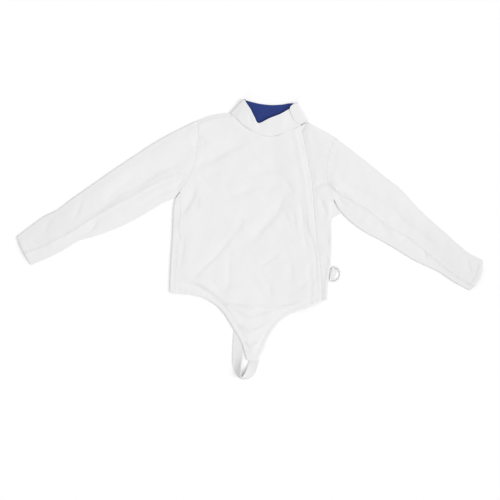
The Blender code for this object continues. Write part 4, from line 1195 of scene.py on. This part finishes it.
bow = (RING_OUTSIDE - RING_WIRE) / 2
corner_along = math.sqrt((bow - RING_CORNER) ** 2 - (RING_CORNER - BOW_CENTRE) ** 2)
meets = math.atan2(corner_along, RING_CORNER - BOW_CENTRE)
path = [(BOW_CENTRE + bow * math.cos(a), bow * math.sin(a)) for a in np.linspace(-meets, meets, 97)]
corner = [(RING_CORNER * (1 + math.cos(a)), corner_along + RING_CORNER * math.sin(a))
          for a in np.linspace(meets, math.pi, 17)[1:]]
bar = [(0.0, corner_along * share) for share in np.linspace(0.8, -0.8, 9)]
path += corner + bar + [(out_by, -along_by) for out_by, along_by in reversed(corner)]
droop = (BAR_HEIGHT - RING_WIRE / 2) / (BOW_CENTRE + bow)
out_way = np.array([math.cos(RING_TILT), -math.sin(RING_TILT)])
bar_way = np.array([math.sin(RING_TILT), math.cos(RING_TILT)])
wire = bpy.data.curves.new("d_ring_wire", "CURVE")
wire.dimensions = "3D"
wire.bevel_depth = RING_WIRE / 2 * MM
wire.bevel_resolution = 6
spline = wire.splines.new("POLY")
spline.points.add(len(path) - 1)
for point, (out_by, along_by) in zip(spline.points, path):
    plan = RING_MIDDLE + out_by * out_way + along_by * bar_way
    point.co = (*in_frame([*plan, BAR_HEIGHT - droop * out_by])[0], 1.0)
spline.use_cyclic_u = True
bent = bpy.data.objects.new("bent wire", wire)
ring_mesh = bpy.data.meshes.new_from_object(bent)
bpy.data.objects.remove(bent)
ring_mesh.materials.clear()
ring_mesh.materials.append(nickel_plate("nickel_plated_wire"))
ring_mesh.shade_smooth()
ring = add_object("d_ring_wire", ring_mesh)
dress(ring, "d_ring", "ring")

# The tab, a doubled loop of white woven tape round the ring's bar, sewn to the side of the left front.
TAB_WIDTH = 28
TAB_ROOT = 5.4
over_bar = BAR_HEIGHT + RING_WIRE / 2 + APART + TAPE / 2
under_bar = TAPE / 2
loop = curve([(-TAB_ROOT, under_bar), (4, under_bar), (12, under_bar), (13.4, under_bar + 0.8),
              (12, under_bar + 1.6), (6, 4.4), (3, 6.0), (0, over_bar), (-2.8, 6.2), (-TAB_ROOT, 4.6)], 104)
loop[:36, 1] = under_bar
lines = []
for place in np.linspace(-TAB_WIDTH / 2, TAB_WIDTH / 2, 13):
    root = -0.064 * place * np.clip(-loop[:, 0] / TAB_ROOT, 0, 1)
    plan = RING_MIDDLE + (loop[:, 0] + root)[:, None] * out_way + place * bar_way
    lines.append(np.column_stack([plan, loop[:, 1]]))
grid = np.array(lines)
tab = sewn_shell("ring_tab_tape", grid, TAPE, tape_white, weave_of(grid))
dress(tab, "ring_tab")

# The stitching: rows of white polyester lockstitch, each stitch a short swell of thread that the cloth
# closes round.
STITCH = 2.6
STITCH_GAP = 0.9
THREAD = 0.7
THREAD_WHITE = "#EEEEEF"
THREAD_SHADE = "#E4E5E8"

thread_white = plain_weave("white_thread", THREAD_WHITE, THREAD_SHADE, 0.5, 0.6)
stitching = beaded("stitching", stitch_rows, beads_tree, {
    "Step": (STITCH + STITCH_GAP) * MM, "Length": STITCH * MM, "Width": THREAD * MM, "Height": THREAD * MM,
    "Material": thread_white})
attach(stitching, "jacket")
